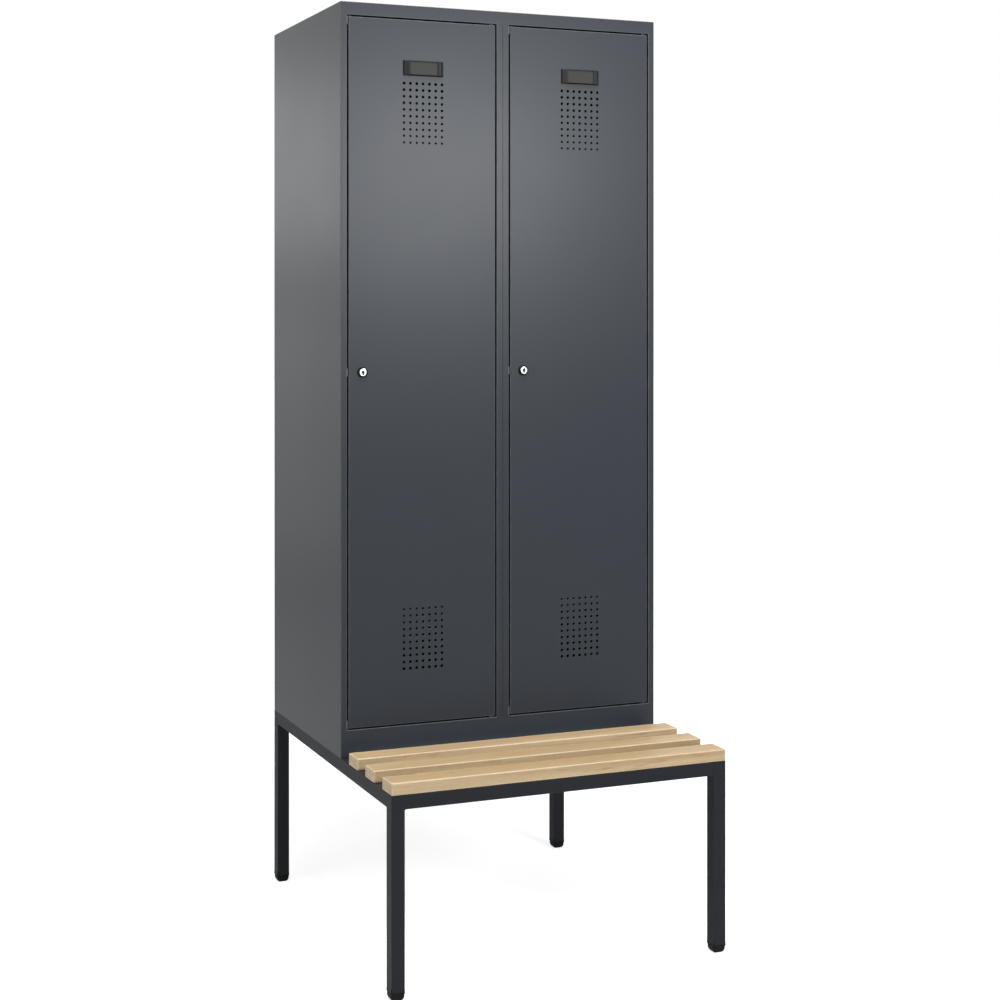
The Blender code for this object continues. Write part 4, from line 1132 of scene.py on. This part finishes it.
@dataclass
class Casing:
    """The welded casing: sides, top, front frame, floor, partition and back panel."""

    workshop: Workshop
    stile: float = 0.0155
    centre: float = 0.01565
    stop_depth: float = 0.0245
    stop: float = 0.014
    top_rail: float = 0.030
    kick_rail: float = 0.062
    top_lip: float = 0.012
    base_lip: float = 0.022
    floor_drop: float = 0.014
    rear_flange: float = 0.015
    seam: float = 0.0003
    groove: float = 0.0009
    web_flange: float = 0.012
    web_return: float = 0.008
    notch_reach: float = 0.05

    def build(self) -> None:
        """Model and dress the casing."""
        self.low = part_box("left_side_panel")[0]
        self.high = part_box("right_side_panel")[1]
        self.sill = self.low.z + self.kick_rail
        self.head = self.high.z - self.top_rail
        self.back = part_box("partition_panel")[1].y
        self.floor_z = self.sill - self.floor_drop
        self.shell()
        self.floor()
        self.partition()
        self.workshop.carry_over("back_panel", Finish.BODY_PAINT)

    def shell(self) -> None:
        """Model sides, top and front frame as one skin whose joints are ground flush."""
        low, high = self.low, self.high
        opening = high.x - self.stile
        stop_y = low.y + self.stop_depth
        piece = add_block("casing_shell", low, high)

        def on_front(_: Vector, way: Vector) -> bool:
            """Whether a face looks to the front."""
            return way.y < -FACING

        with editing(piece):
            pick(Kind.FACE, lambda _, way: way.z < -FACING)
            bpy.ops.mesh.delete(type="FACE")
            pick(Kind.FACE, lambda _, way: way.y > FACING)
            bpy.ops.mesh.inset(thickness=self.rear_flange)
            bpy.ops.mesh.delete(type="FACE")
            pick(Kind.FACE, lambda place, way: way.y > FACING and
                 place.z < low.z + self.rear_flange)
            bpy.ops.mesh.delete(type="FACE")
            for x in (-opening, -self.centre, self.centre, opening):
                pick(Kind.FACE, on_front)
                slice_at((x, 0, 0), (1, 0, 0))
            for z in (self.sill, self.head):
                pick(Kind.FACE, on_front)
                slice_at((0, 0, z), (0, 0, 1))
            pick(Kind.FACE, lambda place, way: way.y < -FACING and
                 self.sill < place.z < self.head and self.centre < abs(place.x) < opening)
            bpy.ops.mesh.delete(type="FACE")

            def rim(place: Vector, way: Vector) -> bool:
                """Whether an edge lies on the front rim of an opening."""
                level = near(place.z, self.sill) or near(place.z, self.head)
                upright = near(abs(place.x), opening) or near(abs(place.x), self.centre)
                across = abs(way.x) > FACING and level and self.centre < abs(place.x) < opening
                along = abs(way.z) > FACING and upright and self.sill < place.z < self.head
                return near(place.y, low.y) and (across or along)

            pick(Kind.EDGE, rim)
            extrude((0, self.stop_depth, 0))
            for x, move in ((-opening, self.stop), (opening, -self.stop),
                            (-self.centre, -self.stop), (self.centre, self.stop)):
                pick(Kind.EDGE, lambda place, way: near(place.y, stop_y) and near(place.x, x) and
                     abs(way.z) > FACING)
                extrude((move, 0, 0))
            door_middle = (opening + self.centre) / 2
            for z, move in ((self.head, self.top_lip), (self.sill, -self.floor_drop)):
                pick(Kind.EDGE, lambda place, way: near(place.y, stop_y) and near(place.z, z) and
                     near(abs(place.x), door_middle))
                extrude((0, 0, move))
            pick(Kind.EDGE, lambda place, way: near(place.y, low.y) and near(place.z, low.z) and
                 abs(way.x) > FACING)
            extrude((0, self.base_lip, 0))
            bpy.ops.mesh.select_all(action="SELECT")
            bpy.ops.mesh.normals_make_consistent(inside=False)
            pick(Kind.FACE, lambda place, way: near(place.z, high.z))
            mesh = bmesh.from_edit_mesh(piece.data)
            if any(face.select and face.normal.z < 0 for face in mesh.faces):
                bpy.ops.mesh.select_all(action="SELECT")
                bpy.ops.mesh.flip_normals()
        give_thickness(piece)
        seam = add_block("stile_seam", (-self.groove / 2, low.y - SHEET, self.sill),
                         (self.groove / 2, low.y + self.groove, self.head))
        combine(piece, seam, "DIFFERENCE")
        self.workshop.hand_over(piece, Finish.BODY_PAINT, "locker", "left_side_panel",
                                "right_side_panel", "top_panel", "partition_stile")

    def floor(self) -> None:
        """Model the floor with its rear apron."""
        inner = self.low.x + SHEET + self.seam
        front = self.low.y + self.stop_depth
        piece = folded("floor_panel", (inner, front, self.floor_z), (-2 * inner, 0, 0),
                       [(0, self.back - front, 0), (0, 0, self.low.z - self.floor_z),
                        (0, -self.base_lip, 0)], (0, 0, 1))
        give_thickness(piece)
        self.workshop.hand_over(piece, Finish.BODY_PAINT, "locker", "bottom_panel")

    def partition(self) -> None:
        """Model the partition's web, folded twice inside the hollow centre stile."""
        half = self.seam / 2
        front = self.low.y + SHEET + self.seam
        piece = folded("partition_wall", (-half, self.back, self.floor_z + self.seam),
                       (0, 0, self.high.z - SHEET - self.floor_z - 2 * self.seam),
                       [(0, front - self.back, 0), (-self.web_flange, 0, 0),
                        (0, self.web_return, 0)], (1, 0, 0))
        give_thickness(piece)
        self.notch(piece)
        self.workshop.hand_over(piece, Finish.BODY_PAINT, "locker", "partition_panel")

    def notch(self, piece: Object) -> None:
        """Cut the fold off the partition where the rails run in front of it."""
        low, back = self.low, self.low.y + (self.stop_depth + 2 * SHEET)
        for bottom, top in ((low.z, self.sill), (self.head, self.high.z)):
            cutter = add_block("notch", (-self.notch_reach, low.y - SHEET, bottom - SHEET),
                               (self.notch_reach, back, top))
            combine(piece, cutter, "DIFFERENCE")


@dataclass
class Interior:
    """Hat shelves, coat rails and sliding hooks."""

    workshop: Workshop
    shelf_front: float = 0.020
    shelf_lip: float = 0.012
    shelf_rear: float = 0.015
    rail_radius: float = 0.010
    rail_wall: float = 0.0015
    flange_radius: float = 0.017
    flange: float = 0.002
    flange_face: float = 0.7
    flange_weld: float = 0.0018
    hook_gap: float = 0.0006
    hook_wall: float = 0.0035
    hook_width: float = 0.012
    stem_width: float = 0.010
    stem_root: float = 0.0005
    stem: float = 0.022
    curl: float = 0.011
    tip: float = 0.008
    soft_edge: float = 0.0006

    def build(self) -> None:
        """Model and dress what is inside the compartments."""
        for side in Side:
            self.shelf(f"{side.value}_hat_shelf")
            self.rail(f"{side.value}_coat_rail")
        self.hooks()

    def shelf(self, node: str) -> None:
        """Model a hat shelf, folded down at its front and up at its back."""
        low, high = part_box(node)
        piece = folded(node + "_sheet", (low.x, high.y, high.z), (high.x - low.x, 0, 0),
                       [(0, 0, -self.shelf_rear), (0, low.y - high.y, 0), (0, 0, -self.shelf_front),
                        (0, self.shelf_lip, 0)], (0, -1, 0))
        give_thickness(piece)
        self.workshop.hand_over(piece, Finish.BODY_PAINT, "locker", node)

    def rail(self, node: str) -> None:
        """Model a coat rail with a flange welded to each end."""
        low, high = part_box(node)
        y, z = (low.y + high.y) / 2, (low.z + high.z) / 2
        width, bore = high.x - low.x, self.rail_radius - self.rail_wall
        flange = [(self.flange_radius, 0), (self.flange_radius, self.flange * self.flange_face),
                  (self.flange_radius - self.soft_edge, self.flange),
                  (self.rail_radius + self.flange_weld, self.flange),
                  (self.rail_radius, self.flange * 2)]
        far_flange = [(radius, width - height) for radius, height in reversed(flange)]
        profile = [(bore, 0), *flange, *far_flange, (bore, width), (bore, 0)]
        piece = turned(node + "_tube", profile, (low.x, y, z), (1, 0, 0), 40, hollow=True)
        self.workshop.hand_over(piece, Finish.RAIL_STEEL, "locker", node)

    def hooks(self) -> None:
        """Model one hook and copy it to its places on both rails."""
        low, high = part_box("left_coat_hook_1")
        bore = self.rail_radius + self.hook_gap
        ring = bore + self.hook_wall
        x, y, z = (low.x + high.x) / 2, high.y - ring, high.z - ring
        half, soft = self.hook_width / 2, self.soft_edge
        pattern = turned("hook_pattern", [(bore, -half), (ring - soft, -half), (ring, soft - half),
                                          (ring, half - soft), (ring - soft, half), (bore, half),
                                          (bore, -half)], (x, y, z), (1, 0, 0), 40, hollow=True)
        wide, thick = self.stem_width / 2, self.hook_wall / 2
        top = z - bore - thick
        stem = add_block("stem", (x - wide, y - thick, top - self.stem_root),
                         (x + wide, y + thick, top))
        bend_z = z - ring - self.stem
        with editing(stem):
            pick(Kind.FACE, lambda _, way: way.z < -FACING)
            extrude((0, 0, bend_z - top + self.stem_root))
            for _ in range(2):
                bpy.ops.mesh.spin(steps=6, angle=math.pi / 2, center=(x, y - self.curl, bend_z),
                                  axis=(-1, 0, 0))
            extrude((0, 0, self.tip))
        close_up(stem)
        round_sharp(stem, soft, 2, 60)
        combine(pattern, stem, "UNION")
        for side in Side:
            for number in (1, 2, 3):
                target = f"{side.value}_coat_hook_{number}"
                made = copy_by(pattern, target + "_moulding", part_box(target)[0] - low)
                self.workshop.hand_over(made, Finish.HOOK_PLASTIC, f"{side.value}_hook_{number}",
                                        target)
        bpy.data.objects.remove(pattern, do_unlink=True)


# Doors

@dataclass
class Doors:
    """Door pans with their holes, stiffeners, label holders, hinge pins and buffers.

    The left-hand pieces are modelled, and the right-hand ones are their copies.
    """

    workshop: Workshop
    lip: float = 0.014
    edge_play: float = 0.0004
    columns: int = 7
    rows: int = 10
    pitch_x: float = 0.0156
    pitch_z: float = 0.015
    hole_large: float = 0.0035
    hole_small: float = 0.0027
    hole_chamfer: float = 0.0001
    upper_drop: float = 0.144
    lower_rise: float = 0.125
    pin_hole: float = 0.0028
    lock_hole: float = 0.0099
    pin_inset: float = 0.0095
    pin_depth: float = 0.007
    stiffener_flange: float = 0.012
    rim: float = 0.004
    recess_end: float = 0.014
    draft: float = 0.0005
    holder_floor: float = 0.0022
    card_slack: float = 0.0003
    card_round: float = 0.0002
    rib: float = 0.0045
    groove: float = 0.0012
    ramp: float = 0.0085
    ramp_foot: float = 0.0012
    slope: float = 0.0026
    rib_round: float = 0.0013
    moulded_round: float = 0.0003
    pin_radius: float = 0.0025
    pin_tip: Pair = (0.6, 0.0008)
    collar_radius: float = 0.0058
    collar_start: float = 0.0073
    collar_end: float = 0.0097
    collar_round: float = 0.0003
    rivet_radius: float = 0.005
    rivet_height: float = 0.002
    rivet_rings: tuple[Pair, ...] = ((1.0, 1.0), (0.96, 0.55), (0.75, 0.2), (0.4, 0.0))
    buffer_leg: float = 0.0019
    buffer_height: float = 0.018
    buffer_plate: float = 0.0039
    buffer_root: float = 0.0005
    buffer_round: float = 0.0002
    buffer_tab: float = 0.0022
    tab_setback: float = 0.005
    block_drop: float = 0.003
    clip_reach: float = 0.0022
    clip_inside: float = 0.0010
    clip_sheet: float = 0.0006
    seam: float = 0.0001

    def build(self) -> None:
        """Model and dress the doors and what is fixed to them."""
        for piece, finish, body, node in (
                (self.pan(), Finish.BODY_PAINT, "left_door", "left_door"),
                (self.stiffener(), Finish.BODY_PAINT, "left_door", "left_door_stiffener"),
                (self.label_holder(), Finish.LABEL_PLASTIC, "left_door", "left_label_holder"),
                (self.label_card(), Finish.LABEL_CARD, "left_door", "left_label_card"),
                (self.pin("top"), Finish.BODY_PAINT, "locker", "left_hinge_pin_top"),
                (self.pin("bottom"), Finish.BODY_PAINT, "locker", "left_hinge_pin_bottom"),
                (self.buffer(), Finish.BUFFER_RUBBER, "locker", "left_door_buffer")):
            self.workshop.hand_over_pair(piece, finish, body, node)

    def pan(self) -> Object:
        """Model the door pan with its lips, ventilation holes, lock hole and pin holes."""
        low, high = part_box("left_door")
        play = Vector((self.edge_play, 0, self.edge_play))
        low, high = low + play, high - play
        piece = add_block("left_door_pan", low, high)
        with editing(piece):
            pick(Kind.FACE, lambda _, way: way.y > FACING)
            bpy.ops.mesh.inset(thickness=self.lip)
            bpy.ops.mesh.delete(type="FACE")
        give_thickness(piece)
        cutters = self.hole_cutters(low, high)
        lock_low, lock_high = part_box("left_lock_housing")
        x, z = (lock_low.x + lock_high.x) / 2, (lock_low.z + lock_high.z) / 2
        cutters.append(add_rod("lock_hole", self.lock_hole, CUT, (x, low.y, z), (0, 1, 0), 40))
        for z in (low.z, high.z):
            place = (high.x - self.pin_inset, low.y + self.pin_depth, z)
            cutters.append(add_rod("pin_hole", self.pin_hole, CUT, place, (0, 0, 1)))
        combine(piece, merge(cutters), "DIFFERENCE")
        return piece

    def hole_cutters(self, low: Vector, high: Vector) -> list[Object]:
        """Model the cutters of both grids, each row's holes smaller than the last one's.

        Args:
            low: The door's lowest corner.
            high: Its highest corner.

        Returns:
            One cutter for each row.
        """
        cutters = []
        left = (low.x + high.x) / 2 - (self.columns - 1) / 2 * self.pitch_x
        for start, way in ((high.z - self.upper_drop, -1), (low.z + self.lower_rise, 1)):
            for row in range(self.rows):
                share = row / (self.rows - 1)
                radius = self.hole_large + share * (self.hole_small - self.hole_large)
                wide = radius + self.hole_chamfer
                place = (left, low.y, start + way * row * self.pitch_z)
                hole = turned("hole_row", [(wide, -SHEET), (wide, 0.0),
                                           (radius, self.hole_chamfer), (radius, 2 * SHEET)],
                              place, (0, 1, 0), 14)
                modify(hole, "ARRAY", count=self.columns, use_relative_offset=False,
                       use_constant_offset=True, constant_offset_displace=(self.pitch_x, 0, 0))
                cutters.append(hole)
        return cutters

    def stiffener(self) -> Object:
        """Model the hat-shaped stiffener behind the door's face."""
        low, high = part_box("left_door_stiffener")
        flange, depth = self.stiffener_flange, high.y - low.y
        web = high.x - low.x - 2 * flange
        piece = folded("left_door_stiffener_sheet", (low.x, low.y, low.z), (0, 0, high.z - low.z),
                       [(flange, 0, 0), (0, depth, 0), (web, 0, 0), (0, -depth, 0), (flange, 0, 0)],
                       (0, -1, 0))
        give_thickness(piece)
        return piece

    def label_holder(self) -> Object:
        """Model the label holder: rim, sloping finger recess, card pocket, rib and sloping end."""
        low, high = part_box("left_label_holder")
        card_low, card_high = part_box("left_label_card")
        rim, recess_end, rib_end = low.x + self.rim, low.x + self.recess_end, high.x - self.ramp
        rib_start, floor = rib_end - self.rib, high.y - self.holder_floor
        draft, slack = self.draft, self.card_slack
        piece = add_block("left_label_holder_moulding", low, high)
        with editing(piece):
            for axis, value, slope in ((2, low.z, self.slope), (0, low.x, self.slope),
                                       (2, high.z, -self.slope * 0.5)):
                pick(Kind.CORNER, lambda place, _: near(place[axis], value) and
                     near(place.y, low.y))
                bpy.ops.transform.translate(value=[slope * (axis == way) for way in range(3)])
            for x in (rim, rim + draft, recess_end - draft, recess_end, rib_end):
                bpy.ops.mesh.select_mode(type="FACE")
                bpy.ops.mesh.select_all(action="SELECT")
                slice_at((x, 0, 0), (1, 0, 0))
            for x, y in ((rim + draft, floor), (recess_end - draft, low.y + draft * 3),
                         (high.x, high.y - self.ramp_foot)):
                pick(Kind.CORNER, lambda place, _: near(place.x, x) and near(place.y, low.y))
                bpy.ops.transform.translate(value=(0, y - low.y, 0))
        pocket = add_block("pocket", (card_low.x - slack, low.y - CUT, card_low.z - slack),
                           (card_high.x + slack, floor, card_high.z + slack))
        combine(piece, pocket, "DIFFERENCE")
        groove = add_block("groove", (rib_start - self.groove, low.y - CUT, low.z - CUT),
                           (rib_start, low.y + self.groove, high.z + CUT))
        combine(piece, groove, "DIFFERENCE")
        close_up(piece)
        with editing(piece):
            # The rib's rounded edges are narrow faces, where the edge colour paints a highlight
            pick(Kind.EDGE, lambda place, way: abs(way.z) > STRAIGHT and near(place.y, low.y) and
                 (near(place.x, rib_start) or near(place.x, rib_end)))
            round_selected(self.rib_round, 4)
        round_sharp(piece, self.moulded_round, 2, 50)
        return piece

    def label_card(self) -> Object:
        """Model the blank card in the pocket."""
        piece = add_block("left_label_card_blank", *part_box("left_label_card"))
        round_sharp(piece, self.card_round, 2)
        return piece

    def pin(self, end: str) -> Object:
        """Model a hinge pin with its collar and riveted head.

        Args:
            end: Top or bottom.

        Returns:
            The pin.
        """
        low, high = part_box(f"left_hinge_pin_{end}")
        x, y = (low.x + high.x) / 2, (low.y + high.y) / 2
        length = high.z - low.z
        tip, up = (low.z, 1) if end == "top" else (high.z, -1)
        body, collar, soft = self.pin_radius, self.collar_radius, self.collar_round
        point, taper = self.pin_tip
        profile = [(body * point, 0), (body, taper), (body, self.collar_start),
                   (collar - soft, self.collar_start), (collar, self.collar_start + soft),
                   (collar, self.collar_end - soft), (collar - soft, self.collar_end),
                   (body, self.collar_end), (body, length - self.rivet_height)]
        profile += [(self.rivet_radius * wide, length - self.rivet_height * deep)
                    for wide, deep in self.rivet_rings]
        return turned(f"left_hinge_pin_{end}_rivet", profile, (x, y, tip), (0, 0, up), 28)

    def buffer(self) -> Object:
        """Model the buffer strip with its three blocks, their clips and its end tabs."""
        low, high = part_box("left_door_buffer")
        plate_y, middle = high.y - self.buffer_plate, (low.z + high.z) / 2
        leg_x, tall, drop = low.x + self.buffer_leg, self.buffer_height, self.block_drop
        root, front, sheet = plate_y + self.buffer_root, CAD_FRONT - self.seam, self.clip_sheet
        inside, outside = low.x + self.clip_inside, low.x - self.clip_reach
        parts = []
        for start, end in ((low.z + drop, low.z + drop + tall),
                           (middle - tall / 2, middle + tall / 2),
                           (high.z - drop - tall, high.z - drop)):
            parts += [((low.x, low.y, start), (leg_x, root, end)),
                      ((low.x, front - sheet / 2, start), (inside, low.y + SHEET, end)),
                      ((outside, front - sheet, start), (inside, front, end))]
        for start, end in ((low.z, low.z + self.buffer_tab), (high.z - self.buffer_tab, high.z)):
            parts.append(((low.x, low.y + self.tab_setback, start), (high.x, root, end)))
        piece = add_block("left_door_buffer_strip", (low.x, plate_y, low.z), high)
        for corners in parts:
            combine(piece, add_block("part", *corners), "UNION")
        close_up(piece)
        round_sharp(piece, self.buffer_round, 2)
        return piece


@dataclass
class Locks:
    """Cylinder locks: black rosette, nickel cylinder with its keyway, nut and cam.

    Depths are measured from the door's face. Rings are the insets and drops of a turned rim.
    """

    workshop: Workshop
    seat_gap: float = 0.0003
    rosette: float = 0.0118
    rosette_thickness: float = 0.0036
    rosette_rings: tuple[Pair, ...] = ((0.0013, 0.0), (0.0006, 0.0002), (0.0001, 0.0007),
                                       (0.0, 0.0012))
    mouth: Pair = (0.0003, 0.0004)
    barrel: float = 0.0095
    head: float = 0.0084
    head_gap: float = 0.0004
    head_play: float = 0.0003
    head_rings: tuple[Pair, ...] = ((0.0020, 0.0), (0.0017, 0.0002), (0.0014, 0.0), (0.0007, 0.0),
                                    (0.0002, 0.0002), (0.0, 0.0007))
    face_middle: float = 0.0004
    proud: float = 0.0010
    spindle: float = 0.006
    counterbore: float = 0.0016
    key_width: float = 0.0036
    key_middle: float = 0.0070
    key_shoulder: float = 0.0015
    key_height: float = 0.0124
    key_depth: float = 0.0065
    # A black insert in the keyway paints its shade
    shade_insert_play: float = 0.0001
    liner_setback: float = 0.0003
    shade_insert_wall: float = 0.0004
    square: float = 0.0076
    nut_radius: float = 0.0145
    nut_round: float = 0.0005
    nut_play: float = 0.0003
    cam_arm: float = 0.007
    cam_round: float = 0.0003

    def build(self) -> None:
        """Model and dress both locks."""
        low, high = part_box("left_lock_cylinder")
        self.place = Vector(((low.x + high.x) / 2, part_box("left_door")[0].y, (low.z + high.z) / 2))
        self.front = -self.seat_gap - self.rosette_thickness
        self.face = self.front - self.proud
        self.barrel_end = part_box("left_lock_housing")[1].y - self.place.y
        self.end = high.y
        for piece, finish, body, node, stands_in in (
                (self.housing(), Finish.LOCK_BLACK, "left_door", "left_lock_housing", True),
                (self.nut(), Finish.ZINC_STEEL, "left_door", "left_lock_nut", True),
                (self.cylinder(), Finish.LOCK_NICKEL, "left_lock", "left_lock_cylinder", True),
                # A black insert that paints the keyway's shade
                (self.keyway_shade_insert(), Finish.LOCK_BLACK, "left_lock", "left_lock_cylinder", False),
                (self.cam(), Finish.ZINC_STEEL, "left_lock", "left_lock_cam", True)):
            self.workshop.hand_over_pair(piece, finish, body, node, stands_in)

    def housing(self) -> Object:
        """Model the rosette, rounded at its rim, with the barrel behind it."""
        front, floor = self.front, self.front + self.counterbore
        bore, hole = self.spindle + self.head_gap, self.head + self.head_gap
        deep, wide = self.mouth
        profile = [(hole, front + deep), (hole + wide, front)]
        profile += [(self.rosette - inset, front + drop) for inset, drop in self.rosette_rings]
        profile += [(self.rosette, -self.seat_gap), (self.barrel, -self.seat_gap),
                    (self.barrel, self.barrel_end), (bore, self.barrel_end), (bore, floor),
                    (hole, floor), (hole, front + deep)]
        return turned("left_lock_rosette", profile, self.place, (0, 1, 0), 56, hollow=True)

    def nut(self) -> Object:
        """Model the hexagon nut on the barrel."""
        low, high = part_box("left_lock_nut")
        middle = (low + high) / 2
        piece = add_rod("left_lock_nut_hexagon", self.nut_radius, high.y - low.y, middle,
                        (0, 1, 0), 6)
        round_sharp(piece, self.nut_round, 2)
        bore = add_rod("bore", self.barrel + self.nut_play, 2 * CUT, middle, (0, 1, 0), 40)
        combine(piece, bore, "DIFFERENCE")
        return piece

    def cylinder(self) -> Object:
        """Model the cylinder with a turned face, its keyway and the square spindle."""
        back, end = self.front + self.counterbore - self.head_play, self.barrel_end
        profile = [(self.face_middle, self.face)]
        profile += [(self.head - inset, self.face + drop) for inset, drop in self.head_rings]
        profile += [(self.head, back), (self.spindle, back), (self.spindle, end)]
        piece = turned("left_lock_plug", profile, self.place, (0, 1, 0), 56)
        half = self.square / 2
        x, y, z = self.place
        spindle = add_block("spindle", (x - half, y + end / 2, z - half),
                            (x + half, self.end, z + half))
        combine(piece, spindle, "UNION")
        keyway = self.key_shape("keyway", 0.0, self.face - 2 * SHEET, self.face + self.key_depth)
        combine(piece, keyway, "DIFFERENCE")
        return piece

    def key_shape(self, name: str, play: float, front: float, back: float) -> Object:
        """Model a bar with the outline of the keyway, wider at its middle.

        Args:
            name: Name of the bar.
            play: How much smaller than the keyway it is on each side.
            front: Depth at which it begins.
            back: Depth at which it ends.

        Returns:
            The bar.
        """
        x, y, z = self.place
        half, tall = self.key_width / 2 - play, self.key_height / 2 - play
        wide, step = self.key_middle / 2 - play, self.key_shoulder
        piece = add_block(name, (x - half, y + front, z - tall), (x + half, y + back, z + tall))
        with editing(piece):
            for height in (-2 * step, -step, step, 2 * step):
                bpy.ops.mesh.select_mode(type="FACE")
                bpy.ops.mesh.select_all(action="SELECT")
                slice_at((x, y, z + height), (0, 0, 1))
            pick(Kind.CORNER, lambda place, _: abs(place.z - z) < step * 1.5)
            bpy.ops.transform.resize(value=(wide / half, 1, 1), center_override=(x, y, z))
        return piece

    def keyway_shade_insert(self) -> Object:
        """Model a black insert in the keyway that paints its shade, recessed towards its middle."""
        piece = self.key_shape("left_lock_keyway_liner", self.shade_insert_play,
                               self.face + self.liner_setback,
                               self.face + self.key_depth - self.shade_insert_play)
        with editing(piece):
            pick(Kind.FACE, lambda _, way: way.y < -FACING)
            bpy.ops.mesh.inset(thickness=self.shade_insert_wall)
            extrude((0, self.key_depth / 2, 0))
        return piece

    def cam(self) -> Object:
        """Model the cam: its hub and a straight arm with a round tip."""
        low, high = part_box("left_lock_cam")
        x, _, z = self.place
        y, thick = (low.y + high.y) / 2, high.y - low.y
        arm, hub = self.cam_arm, (high.x - low.x) / 2
        tip_z = low.z + arm
        piece = add_rod("left_lock_cam_plate", hub, thick, (x, y, z), (0, 1, 0), 40)
        combine(piece, add_block("arm", (x - arm, low.y, tip_z), (x + arm, high.y, z)), "UNION")
        combine(piece, add_rod("tip", arm, thick, (x, y, tip_z), (0, 1, 0), 32), "UNION")
        close_up(piece)
        round_sharp(piece, self.cam_round, 2, 50)
        return piece


# Light, floor and camera

@dataclass(frozen=True)
class SoftLamp:
    """A soft lamp: where it stands, where it looks, its width and height, and its watts."""

    name: str
    place: Triple
    aim: Triple
    size: Pair
    power: float

    def add(self) -> None:
        """Add the lamp to the scene."""
        bpy.ops.object.light_add(type="AREA", location=self.place)
        lamp = bpy.context.active_object
        lamp.name = self.name
        lamp.data.shape = "RECTANGLE"
        lamp.data.size, lamp.data.size_y = self.size
        lamp.data.energy = self.power
        look = Vector(self.aim) - Vector(self.place)
        lamp.rotation_euler = look.to_track_quat("-Z", "Y").to_euler()


LAMPS: tuple[SoftLamp, ...] = (
    SoftLamp("front_lamp", (1.30, -3.75, 2.08), (0.0, 0.0, 1.5), (1.15, 0.42), 85.0),
    SoftLamp("side_lamp", (-1.9, 3.9, 2.14), (-0.4, 0.1, 1.5), (1.2, 0.8), 5.8),
    SoftLamp("low_side_lamp", (-1.9, 3.9, 0.85), (-0.4, 0.1, 0.9), (1.2, 1.1), 2.4),
    SoftLamp("left_lamp", (-3.6, -0.9, 2.1), (0.0, 0.2, 1.2), (1.8, 1.2), 23.0),
    SoftLamp("top_lamp", (-0.2, -0.85, 4.2), (0.0, -0.25, 0.4), (2.0, 1.4), 150.0),
)


@dataclass
class Studio:
    """Pale floor, white surroundings and the camera of the photograph.

    The floor is lifted towards white for the camera, from near the locker to farther out. Of
    that lift, reflections get the floor's shine alone.
    """

    world_level: float = 0.36
    floor_size: float = 60.0
    floor_colour: float = 0.70
    floor_roughness: float = 0.9
    floor_shine: float = 0.20
    floor_lift: Pair = (0.69, 0.86)
    lift_reach: Pair = (1.0, 2.6)
    speckle: float = 0.99
    speckle_scale: float = 40.0
    camera_place: Triple = (-1.6645, -3.6556, 1.4273)
    camera_turn: float = -20.262
    lens: float = 60.686
    shift: Pair = (0.13813, -0.18722)

    def build(self) -> None:
        """Set up floor, surroundings, lamps and camera."""
        bpy.context.scene.view_settings.view_transform = "Standard"
        self.surroundings()
        self.floor()
        for lamp in LAMPS:
            lamp.add()
        self.camera()

    @staticmethod
    def seen_directly(desk: Desk) -> Socket:
        """One for rays from the camera, a reflection or through glass, and zero for the rest."""
        path = desk.add("ShaderNodeLightPath")
        first = desk.calc("MAXIMUM", path.outputs["Is Camera Ray"], path.outputs["Is Glossy Ray"])
        return desk.calc("MAXIMUM", first, path.outputs["Is Transmission Ray"])

    def surroundings(self) -> None:
        """White surroundings that light the locker at a lower level."""
        world = bpy.data.worlds.new("studio")
        bpy.context.scene.world = world
        world.use_nodes = True
        desk = Desk(world.node_tree)
        background = world.node_tree.nodes["Background"]
        desk.put(background.inputs["Color"], WHITE)
        desk.put(background.inputs["Strength"],
                 desk.between(self.seen_directly(desk), 0.0, 1.0, self.world_level, 1.0))

    def floor(self) -> None:
        """Pale floor that keeps the shadow of the locker."""
        bpy.ops.mesh.primitive_plane_add(size=self.floor_size)
        floor = named("studio_floor")
        made, desk, shader, place = open_material(floor.name)
        pale = (self.floor_colour,) * 3
        speck = (self.floor_colour * self.speckle,) * 3
        desk.put(shader.inputs["Base Color"],
                 desk.mix(desk.noise(place, self.speckle_scale), (*pale, 1), (*speck, 1)))
        desk.put(shader.inputs["Roughness"], self.floor_roughness)
        desk.put(shader.inputs["Emission Color"], WHITE)
        camera_ray = desk.add("ShaderNodeLightPath").outputs["Is Camera Ray"]
        away = desk.add("ShaderNodeVectorMath", operation="LENGTH")
        desk.put(away.inputs[0], place)
        lift = desk.between(away.outputs["Value"], *self.lift_reach,
                            *(level - self.floor_shine for level in self.floor_lift))
        shine = desk.calc("MULTIPLY", self.seen_directly(desk), self.floor_shine)
        desk.put(shader.inputs["Emission Strength"],
                 desk.calc("ADD", shine, desk.calc("MULTIPLY", camera_ray, lift)))
        floor.data.materials.append(made)

    def camera(self) -> None:
        """Stand the camera where the photograph was taken."""
        bpy.ops.object.camera_add(location=self.camera_place,
                                  rotation=(math.pi / 2, 0, math.radians(self.camera_turn)))
        camera = bpy.context.active_object
        camera.data.lens = self.lens
        camera.data.shift_x, camera.data.shift_y = self.shift
        camera.data.dof.use_dof = False
        bpy.context.scene.camera = camera


def main() -> None:
    """Build the scene."""
    effects = Effects()
    materials = {finish.slot: finish.material(effects) for finish in FINISHES}
    workshop = Workshop(materials)
    for assembly in (BenchFrame(workshop), Seat(workshop), Casing(workshop), Interior(workshop),
                     Doors(workshop), Locks(workshop)):
        log.info("building the %s", type(assembly).__name__)
        assembly.build()
    Studio().build()


if __name__ == "__main__":
    main()
